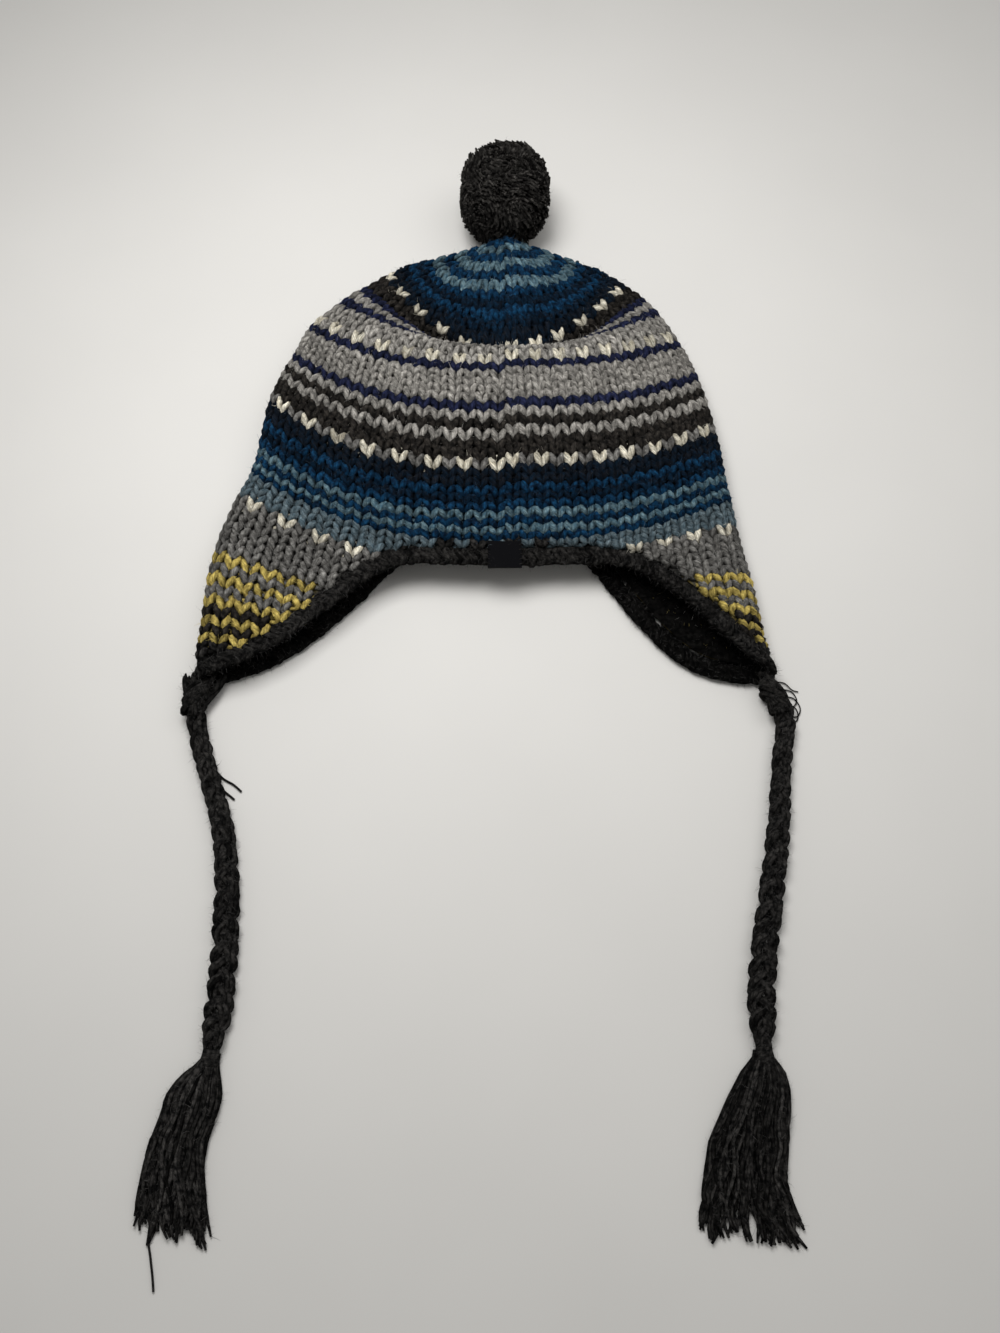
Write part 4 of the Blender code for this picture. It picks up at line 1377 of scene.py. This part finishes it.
def make_pompom():
    """Ball of cut yarn, a little flat on top, whose strands lean over in locks."""
    sizes = bpy.context.scene.hat_pompom
    low, high = (np.array(corner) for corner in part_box("pompom"))
    random = np.random.RandomState(POMPOM_SEED)
    count = sizes.strands
    out = ball_points(count, random)
    power = POMPOM_SQUARENESS
    blunt = (np.abs(out) ** power).sum(axis=1) ** (-1 / power)
    skin = out * blunt[:, None] * ((high - low) / 2 - POMPOM_INSET)
    skin *= (1 + random.normal(0.0, SKIN_STRAY, count))[:, None]
    skin += (low + high) / 2
    aim = leaning(out, sizes.lean, random)
    tone = np.clip(random.normal(1.0, POMPOM_TONES, count), *POMPOM_TONE_LIMITS)
    fat = random.normal(1.0, POMPOM_FATNESS, count)
    kept = skin[:, 2] > POMPOM_FLOOR
    mesh = bpy.data.meshes.new("pompom_yarn")
    mesh.from_pydata(skin[kept].tolist(), [], [])
    for name, values in {"aim": aim, "fat": fat, **toned("smoke", tone[:, None])}.items():
        write_attribute(mesh, name, values[kept])
    return grow(shown_object("pompom_yarn", mesh), tree_named("Cut Strands", tuft_tree),
                length=sizes.strand_length, radius=sizes.strand_radius, seed=TUFT_SEED,
                material=material_named("wool", wool_material))


def make_pompom_core():
    """Dense middle of the pompom, its yarn painted dark as the shade deep among the strands."""
    low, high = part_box("pompom")
    mesh = bpy.data.meshes.new("pompom_core")
    build = bmesh.new()
    bmesh.ops.create_icosphere(build, subdivisions=4, radius=0.5)
    bmesh.ops.scale(build, vec=(high - low) * CORE_SIZE, verts=build.verts)
    bmesh.ops.translate(build, vec=(low + high) / 2, verts=build.verts)
    build.to_mesh(mesh)
    build.free()
    return core_piece(mesh, "smoke", POMPOM_CORE_PAINTED_SHADE)


# Ties: where a braid starts past its flap's end, the steps of its route and of a loose
# yarn's, and how a strand of the plait swings, arches and slackens
BRAID_SEED = 20
BRAID_START = 0.0040
ROUTE_STEP = 0.0014
LOOSE_STEP = 0.0010
ROUTE_PARTS = 24
BRAID_STRANDS = 3
STRAND_YARNS = 4
STRAND_REACH = 2.25
LEAST_TIGHTNESS = 0.75
SWING_PEAK = 1.35
SWING_FLATTENING = 0.35
BRAID_ARCH = 0.42
SLACK = 0.35
SLACK_LENGTH = 0.041
SLACK_LAG = 2.1
TWIST_LENGTH = 0.030
YARN_SPREAD = 1.25
YARN_FLATNESS = 0.9
BRAID_TONES = 0.22
BRAID_FATNESS = 0.05

# Winding above a tassel, with its yarn as a share of the tie's
WRAP_TURNS = 5
WRAP_TURN_POINTS = 20
WRAP_YARN = 0.85
WRAP_MARGIN = 0.06
WRAP_FLATNESS = 0.92
WRAP_LIFT = 0.0003

# Tassel: where its yarns start and end, how they draw into locks and part, how they
# wave, how round its outline is, and how its yarns differ
TASSEL_SEED = 30
TASSEL_POINTS = 22
TASSEL_START = 0.015
TASSEL_REACH = 0.97
OUTER_SHORTER = 0.06
LOCK_TIPS = 0.035
YARN_TIPS = 0.030
LOCKS_START = 0.35
PINCH_POWER = 1.3
PARTING_LENGTH = 0.2
PARTING_PLACE = -0.45
PLACE_DRIFT = 0.05
WAVE_WIDTH = 0.0018
WAVE_TURNS = (10, 30)
TASSEL_DOME = 0.8
TASSEL_TONES = 0.45
TASSEL_TONE_LIMITS = (0.35, 2.2)
TASSEL_FATNESS = (0.8, 1.15)
TIP_NARROWING = 0.45
TIP_BLUNTNESS = 10

# Root of a tie. Its yarns gather from the flap's tip, where half their spread is the first
# width and thickness, to the tie, where it is the second, and turns are wound round them.
ROOT_SEED = 40
ROOT_POINTS = 16
ROOT_YARNS = 22
ROOT_HALF_WIDTH = 0.0058
ROOT_INNER_MORE = 0.0050
ROOT_TIE_WIDTH = 0.0034
ROOT_SHIFT = 0.0030
ROOT_CROSSING = 0.8
ROOT_TOP = 0.0105
ROOT_LENGTH = 0.0215
ROOT_LIFT = 0.0008
ROOT_THICKNESS = (0.0040, 0.0026)
ROOT_TONE = 0.7
ROOT_TONES = 0.15
ROOT_FATNESS = (0.8, 1.05)
ROOT_END_FATNESS = 0.35
ROOT_TAPER = 0.35
ROOT_TURNS = 5
ROOT_TURN_POINTS = 36
ROOT_TURN_FATNESS = (0.75, 0.95)
ROOT_PITCH = 0.0021
ROOT_TILT = 0.75
ROOT_TILTS = 0.12
ROOT_WOBBLE = 0.06
ROOT_INSET = (0.0008, 0.0010)


def flap_end(fold):
    """Place where the trim reaches lowest along Y, round the flap folded at a column."""
    step = np.arange(FLAP_END_PARTS + 1)
    columns = fold + FLAP_END_REACH * (2 * step / FLAP_END_PARTS - 1)
    middle, _, past = hem_frames(columns)
    places = middle + past * (TRIM_GAP + TRIM_WIDTH)
    return places[places[:, 1].argmin()]


def smooth_route(points, step):
    """Evenly spaced points on a smooth curve through a route's own points."""
    points = np.asarray(points, float)
    ends = np.concatenate(([2 * points[0] - points[1]], points, [2 * points[-1] - points[-2]]))
    fine = []
    for i in range(1, len(ends) - 2):
        a, b, c, d = ends[i - 1:i + 3]
        for s in np.linspace(0, 1, ROUTE_PARTS, endpoint=False):
            fine.append(0.5 * (2 * b + (c - a) * s + (2 * a - 5 * b + 4 * c - d) * s * s
                               + (3 * b - a - 3 * c + d) * s ** 3))
    fine = np.array(fine + [points[-1]])
    run = along_path(fine)
    places = np.linspace(0, run[-1], max(2, round(run[-1] / step)))
    return np.stack([np.interp(places, run, fine[:, axis]) for axis in range(fine.shape[1])], axis=1)


def laid(points, step, height):
    """Smooth route through places on the table, at one height over it."""
    route = smooth_route(points, step)
    return np.concatenate((route, np.full((len(route), 1), height)), axis=1)


def beside(middle, right, across, height):
    """Points beside a line: so far across it and so far up."""
    return middle + right * across[:, None] + UP * height[:, None]


# What sets the ties apart: inward is the way to the middle of the hat along X, fold is
# the column of the flap's fold, and the tassel's yarns pinch into locks and part
TIES = table(
    "side number inward fold bends spread pinch parting loose_yarns loose_share",
    ("left", 1, 1.0, 3 * QUARTER, TIE_BENDS_LEFT, TASSEL_SPREAD_LEFT, 0.60, 0.0,
     LOOSE_YARNS_LEFT, 0.55),
    ("right", 2, -1.0, QUARTER, TIE_BENDS_RIGHT, TASSEL_SPREAD_RIGHT, 0.78, 0.16,
     LOOSE_YARNS_RIGHT, 0.35),
)


class Tie:
    """One tie on the table: its row of TIES, and where its flap's end puts it."""

    def __init__(self, row):
        self.row = row
        self.side = row.side
        self.flap_end = flap_end(row.fold)
        self.bends = self.from_flap(row.bends)
        last, self.end = (np.array((*place, 0.0)) for place in self.bends[-2:])
        self.heading = unit(self.end - last)
        self.right = np.array((-self.heading[1], self.heading[0], 0.0))

    def from_flap(self, places):
        """Places in the frame, from places measured from the flap's end."""
        return [(self.flap_end[0] + x, self.flap_end[1] + y) for x, y in places]

    def past_end(self, ahead, across, height):
        """Points past the tie's end: so far ahead, across and up."""
        return beside(self.end + self.heading * ahead[:, None], self.right, across, height)


def yarn_piece(name, strands, sides=6):
    item = shown_object(name, strands.mesh(name))
    return grow(item, tree_named("Yarn", yarn_tree), sides=sides,
                material=material_named("wool", wool_material))


def strand_middle(line, right, run, swing, strand, random):
    """Middle of one strand of the plait, which crosses the others and returns."""
    period = bpy.context.scene.hat_ties.braid_period
    slack = SLACK * np.sin(run / SLACK_LENGTH + SLACK_LAG * strand + random.uniform(0, ROUND_TURN))
    phase = 2 * math.pi * (run / period + strand / BRAID_STRANDS) + slack
    side = np.sin(phase) * (SWING_PEAK - SWING_FLATTENING * np.sin(phase) ** 2)
    return beside(line, right, swing * side, BRAID_ARCH * swing * np.sin(2 * phase))


def braid_strands(tie, line, run):
    """Yarns of the plait: three strands, each of four yarns twisted round each other."""
    sizes = bpy.context.scene.hat_ties
    ahead = unit(np.gradient(line, axis=0))
    right = np.stack((-ahead[:, 1], ahead[:, 0], np.zeros(len(ahead))), axis=1)
    wide = sizes.braid_width / 2 * value_at(BRAID_WIDTHS, "width", run / run[-1], "along")
    radius = sizes.yarn_radius * np.clip(wide / (sizes.braid_width / 2), LEAST_TIGHTNESS, 1.0)
    random = np.random.RandomState(BRAID_SEED + tie.row.number)
    strands = Strands()
    for strand in range(BRAID_STRANDS):
        middle = strand_middle(line, right, run, wide - STRAND_REACH * radius, strand, random)
        for yarn in range(STRAND_YARNS):
            twist = 2 * math.pi * (run / TWIST_LENGTH + yarn / STRAND_YARNS) + strand
            spread = YARN_SPREAD * radius
            points = beside(middle, right, spread * np.cos(twist),
                            spread * YARN_FLATNESS * np.sin(twist))
            colours = toned("charcoal", random.normal(1.0, BRAID_TONES))
            fat = radius * (1 + random.normal(0, BRAID_FATNESS, len(run)))
            strands.add(points, fat=fat, face=UP, along=run, **colours)
    return strands


def make_braid(tie):
    """A plaited tie, laid on its route."""
    sizes = bpy.context.scene.hat_ties
    start = (tie.flap_end[0], tie.flap_end[1] - BRAID_START)
    line = laid([start, *tie.bends], ROUTE_STEP, sizes.braid_height)
    run = along_path(line)
    item = yarn_piece("braid_" + tie.side, braid_strands(tie, line, run))
    line[0]
    float(run[-1])
    "tassel_strands_" + tie.side
    "tie_winding_" + tie.side
    return item


def make_loose_yarns(tie):
    """Single yarn ends that lie on the table beside a tie."""
    radius = bpy.context.scene.hat_ties.strand_radius
    strands = Strands()
    for route in tie.row.loose_yarns:
        points = laid(tie.from_flap(route), LOOSE_STEP, radius)
        strands.add(points, fat=radius * tie.row.loose_share, along=along_path(points),
                    **toned("charcoal"))
    return yarn_piece("loose_yarns_" + tie.side, strands)


def make_winding(tie):
    """Yarn wound round the end of the tie, above its tassel."""
    sizes = bpy.context.scene.hat_ties
    share = np.linspace(0, 1, WRAP_TURNS * WRAP_TURN_POINTS + 1)
    angle = 2 * math.pi * WRAP_TURNS * share
    yarn = sizes.yarn_radius * WRAP_YARN
    radius = sizes.wrap_diameter / 2 - yarn
    height = sizes.wrap_diameter / 2 + WRAP_LIFT
    points = tie.past_end(
        sizes.wrap_length * (WRAP_MARGIN + (1 - 2 * WRAP_MARGIN) * share),
        radius * np.cos(angle), height + radius * WRAP_FLATNESS * np.sin(angle))
    strands = Strands()
    strands.add(points, fat=yarn, along=along_path(points), **toned("charcoal"))
    return yarn_piece("tie_winding_" + tie.side, strands)


def place_in_lock(tie, side, lock, share, random):
    """Where a yarn lies across its tassel, from -1 to 1, as it draws into its lock."""
    past = share - LOCKS_START
    pinch = 1 - tie.row.pinch * np.clip(past / (1 - LOCKS_START), 0, 1) ** PINCH_POWER
    place = lock + (side - lock) * pinch + random.normal(0.0, PLACE_DRIFT) * share
    apart = tie.row.parting * np.clip(past / PARTING_LENGTH, 0, 1)
    return place + math.copysign(1.0, side - PARTING_PLACE) * apart * (1 - abs(side))


def add_tassel_yarn(strands, tie, index, tips, random):
    """One long yarn of a tassel, in its lock, from the winding to its cut tip."""
    sizes = bpy.context.scene.hat_ties
    whole = sizes.wrap_length + sizes.tassel_length
    radius = sizes.strand_radius
    side = 2 * ((index * GOLDEN) % 1.0) - 1
    number = math.floor((side + 1) / 2 * sizes.locks)
    lock = (number + 0.5) / sizes.locks * 2 - 1
    reach = TASSEL_REACH - OUTER_SHORTER * abs(side) + tips[number] + random.normal(0.0, YARN_TIPS)
    share = np.linspace(TASSEL_START, reach, TASSEL_POINTS)
    left, right, high = (value_at(tie.row.spread, field, share, "along") * whole
                         for field in ("left", "right", "height"))
    place = place_in_lock(tie, side, lock, share, random)
    wave = np.sin(share * random.uniform(*WAVE_TURNS) + random.uniform(0, ROUND_TURN))
    across = left + (right - left) * (place + 1) / 2 + WAVE_WIDTH * wave * share
    across = np.clip(across, left + radius / 2, right - radius / 2)
    dome = math.sqrt(1 - TASSEL_DOME * side * side)
    layer = (index + 0.5) / sizes.strands
    height = radius + np.maximum(0.0, high * dome - 2 * radius) * layer
    colours = toned("charcoal", np.clip(random.normal(1.0, TASSEL_TONES), *TASSEL_TONE_LIMITS))
    narrowing = 1 - TIP_NARROWING * (share / reach) ** TIP_BLUNTNESS
    strands.add(tie.past_end(whole * share, across, height), face=UP,
                fat=radius * random.uniform(*TASSEL_FATNESS) * narrowing,
                along=whole * share + random.uniform(0, 1), **colours)


def make_tassel(tie):
    """Long yarns from inside the winding, laid on the table in locks."""
    sizes = bpy.context.scene.hat_ties
    random = np.random.RandomState(TASSEL_SEED + tie.row.number)
    tips = random.normal(0.0, LOCK_TIPS, sizes.locks)
    strands = Strands()
    for index in range(sizes.strands):
        add_tassel_yarn(strands, tie, index, tips, random)
    return yarn_piece("tassel_strands_" + tie.side, strands)


def add_root_yarn(strands, tie, centre, index, random):
    """One yarn that gathers from the flap's tip into the tie."""
    inward = tie.row.inward
    share = np.linspace(0, 1, ROOT_POINTS)
    late = share * share * (3 - 2 * share)
    early = 1 - late
    start = 2 * ((index * GOLDEN) % 1.0) - 1
    end = start * (-ROOT_CROSSING if index % 2 else ROOT_CROSSING)
    x = ((ROOT_HALF_WIDTH + ROOT_INNER_MORE * inward) * start * early
         + ROOT_TIE_WIDTH * end * late + inward * ROOT_SHIFT * early)
    rise = random.uniform(-1.0, 1.0)
    z = ROOT_LIFT + rise * (ROOT_THICKNESS[0] * early + ROOT_THICKNESS[1] * late)
    colours = toned("charcoal", random.normal(ROOT_TONE, ROOT_TONES))
    points = centre + np.stack((x, ROOT_TOP - ROOT_LENGTH * share, z), axis=1)
    taper = ROOT_END_FATNESS + (1 - ROOT_END_FATNESS) * np.sin(math.pi * share) ** ROOT_TAPER
    radius = bpy.context.scene.hat_ties.yarn_radius * random.uniform(*ROOT_FATNESS)
    strands.add(points, fat=radius * taper, along=along_path(points), **colours)


def add_root_turn(strands, tie, centre, half, number, random):
    """One turn of yarn, wound slanting round the root."""
    radius = bpy.context.scene.hat_ties.yarn_radius * random.uniform(*ROOT_TURN_FATNESS)
    angle = 2 * math.pi * np.arange(ROOT_TURN_POINTS) / ROOT_TURN_POINTS
    wobble = 1 + ROOT_WOBBLE * np.sin(angle * 2 + random.uniform(0, ROUND_TURN))
    x = (half[0] - ROOT_INSET[0] - radius) * np.cos(angle) * wobble
    z = (half[2] - ROOT_INSET[1] - radius) * np.sin(angle) * wobble
    tilt = tie.row.inward * ROOT_TILT + random.normal(0.0, ROOT_TILTS)
    y = ROOT_PITCH * (number - (ROOT_TURNS - 1) / 2) + tilt * x
    points = centre + np.stack((x, y, z), axis=1)
    strands.add(points, closed=True, fat=radius, along=along_path(points),
                **toned("charcoal", random.normal(ROOT_TONE, ROOT_TONES)))


def make_root(tie):
    """Yarns that gather the tip of a flap into its tie, and the winding round them."""
    low, high = (np.array(corner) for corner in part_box("tie_root_" + tie.side))
    centre = (low + high) / 2
    random = np.random.RandomState(ROOT_SEED + tie.row.number)
    strands = Strands()
    for index in range(ROOT_YARNS):
        add_root_yarn(strands, tie, centre, index, random)
    for number in range(ROOT_TURNS):
        add_root_turn(strands, tie, centre, (high - low) / 2, number, random)
    return yarn_piece("root_winding_" + tie.side, strands)


# Stage: square lights that hang over the table, the sky, how far the table reaches, and
# how near the camera sees
LIGHTS = table(
    "name place size aim",
    ("key", (-0.09, 0.05, 0.54), 0.30, (0.0, -0.08, 0.0)),
    ("fill", (0.45, 0.10, 0.75), 0.60, (0.05, -0.08, 0.0)),
)
SKY_COLOUR = (1.0, 1.0, 0.985, 1.0)
TABLE_REACH = 3.0
NEAREST_SEEN = 0.01


def place_camera(stage):
    aim = Vector((stage.view_across, stage.view_along, 0.0))
    back = Vector((0.0, -math.cos(stage.elevation), math.sin(stage.elevation)))
    data = bpy.data.cameras.new("camera")
    data.lens = stage.lens
    data.clip_start = NEAREST_SEEN
    camera = shown_object("camera", data)
    camera.location = aim + back * stage.distance
    camera.rotation_euler = (math.pi / 2 - stage.elevation, 0.0, 0.0)
    bpy.context.scene.camera = camera


def lay_table():
    mesh = bpy.data.meshes.new("table")
    places = [(x * TABLE_REACH, y * TABLE_REACH, 0) for x, y in ((-1, -1), (1, -1), (1, 1), (-1, 1))]
    mesh.from_pydata(places, [], [(0, 1, 2, 3)])
    mesh.materials.append(material_named("table_top", floor_material))
    shown_object("table", mesh)


def hang_light(light, power):
    data = bpy.data.lights.new(light.name, 'AREA')
    data.size = light.size
    data.energy = power
    lamp = shown_object(light.name, data)
    lamp.location = light.place
    lamp.rotation_euler = (Vector(light.aim) - Vector(light.place)).to_track_quat('-Z', 'Y').to_euler()


def set_sky(scene):
    world = bpy.data.worlds.new("sky")
    world.use_nodes = True
    background = world.node_tree.nodes["Background"]
    background.inputs["Color"].default_value = SKY_COLOUR
    background.inputs["Strength"].default_value = scene.hat_stage.sky
    scene.world = world
    scene.view_settings.view_transform = 'Standard'


def ride(item, slot, *nodes):
    """Sets a finished piece on the frame."""
    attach(item, "root")
    if nodes:
        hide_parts(*nodes)


# Seed of a piece's loose fibres, and how dense they are beside the knitting's
EDGE_FUZZ = (8, 2.2)
POMPOM_FUZZ = (9, 0.4)
TASSEL_FUZZ = (51, 0.9)
BRAID_FUZZ = (52, 2.6)
ROOT_FUZZ = (53, 3.0)


class HatOperator:
    """What all the operators share."""
    bl_options = {'REGISTER', 'UNDO'}


class HAT_OT_stage(HatOperator, bpy.types.Operator):
    """Sets the table, the lights and the camera"""
    bl_idname = "hat.stage"
    bl_label = "Stage"

    def execute(self, context):
        stage = context.scene.hat_stage
        place_camera(stage)
        lay_table()
        for light in LIGHTS:
            hang_light(light, getattr(stage, light.name + "_power"))
        set_sky(context.scene)
        return {'FINISHED'}


# Pieces of the knitting and of its loose fibres, by rows
KNIT_PIECES = table(
    "name fuzz rows seed",
    ("crown_knit", "crown_fuzz", range(1, 20), 1),
    ("middle_knit", "middle_fuzz", range(20, 32), 2),
    ("hem_knit", "hem_fuzz", range(32, HEM_ROW + 1), 3),
    ("flap_knit", "flap_fuzz", range(HEM_ROW + 1, LAST_ROW + 1), 4),
)


class HAT_OT_knitting(HatOperator, bpy.types.Operator):
    """Knits the crown, the body and the ear flaps, row by row"""
    bl_idname = "hat.knitting"
    bl_label = "Knitting"

    def execute(self, context):
        ride(make_shade_backing(), "blue_wool", "knit_body")
        for part in KNIT_PIECES:
            piece = knit_piece(part.name, part.rows, part.seed)
            ride(piece, "blue_wool", "knit_body")
            ride(fibres_on(piece, part.fuzz, part.seed), "blue_wool")
        return {'FINISHED'}


class HAT_OT_edge(HatOperator, bpy.types.Operator):
    """Crochets the edge round hem and flaps, and finishes the label"""
    bl_idname = "hat.edge"
    bl_label = "Crocheted Edge"

    def execute(self, context):
        ride(make_trim_core(), "charcoal_wool", "edge_trim")
        edge = make_trim()
        ride(edge, "charcoal_wool", "edge_trim")
        ride(fibres_on(edge, "edge_fuzz", *EDGE_FUZZ), "charcoal_wool")
        label = make_label()
        ride(label, "black_weave", "label")
        ride(make_label_thread(label), "black_weave")
        return {'FINISHED'}


class HAT_OT_pompom(HatOperator, bpy.types.Operator):
    """Makes the pompom from cut strands of yarn"""
    bl_idname = "hat.pompom"
    bl_label = "Pompom"

    def execute(self, context):
        ride(make_pompom_core(), "grey_pompom_yarn", "pompom")
        yarn = make_pompom()
        ride(yarn, "grey_pompom_yarn", "pompom")
        ride(fibres_on(yarn, "pompom_fuzz", *POMPOM_FUZZ), "grey_pompom_yarn")
        return {'FINISHED'}


class HAT_OT_ties(HatOperator, bpy.types.Operator):
    """Braids the ties, winds their ends and lays out their tassels"""
    bl_idname = "hat.ties"
    bl_label = "Ties and Tassels"

    def execute(self, context):
        for tie in map(Tie, TIES):
            tassel = make_tassel(tie)
            ride(tassel, "charcoal_wool", "tassel_" + tie.side)
            ride(make_winding(tie), "charcoal_wool", "tie_wrap_" + tie.side)
            braid = make_braid(tie)
            ride(braid, "charcoal_wool", "tie_" + tie.side)
            ride(make_loose_yarns(tie), "charcoal_wool")
            root = make_root(tie)
            ride(root, "charcoal_wool", "tie_root_" + tie.side)
            for piece, fuzz in ((tassel, TASSEL_FUZZ), (braid, BRAID_FUZZ), (root, ROOT_FUZZ)):
                ride(fibres_on(piece, piece.name + "_fuzz", *fuzz), "charcoal_wool")
        return {'FINISHED'}


class HAT_PT_panel(bpy.types.Panel):
    """Lists the hat's pieces"""
    bl_label = "Ear-flap Hat"
    bl_space_type = 'VIEW_3D'
    bl_region_type = 'UI'
    bl_category = "Hat"

    def draw(self, context):
        for operator in OPERATORS:
            self.layout.operator(operator.bl_idname)


GROUPS = (
    ("hat_knit", HatKnitSizes), ("hat_fibres", HatFibreSizes), ("hat_pompom", HatPompomSizes),
    ("hat_ties", HatTieSizes), ("hat_colours", HatColours), ("hat_stage", HatStageSizes),
)
OPERATORS = (HAT_OT_stage, HAT_OT_ties, HAT_OT_knitting, HAT_OT_edge, HAT_OT_pompom)


def register():
    for name, group in GROUPS:
        bpy.utils.register_class(group)
        setattr(bpy.types.Scene, name, bpy.props.PointerProperty(type=group))
    for operator in OPERATORS:
        bpy.utils.register_class(operator)
    bpy.utils.register_class(HAT_PT_panel)


def unregister():
    bpy.utils.unregister_class(HAT_PT_panel)
    for operator in reversed(OPERATORS):
        bpy.utils.unregister_class(operator)
    for name, group in reversed(GROUPS):
        delattr(bpy.types.Scene, name)
        bpy.utils.unregister_class(group)


def main():
    register()
    bpy.ops.hat.stage()
    bpy.ops.hat.ties()
    bpy.ops.hat.knitting()
    bpy.ops.hat.edge()
    bpy.ops.hat.pompom()
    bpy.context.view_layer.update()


if __name__ == "__main__":
    main()
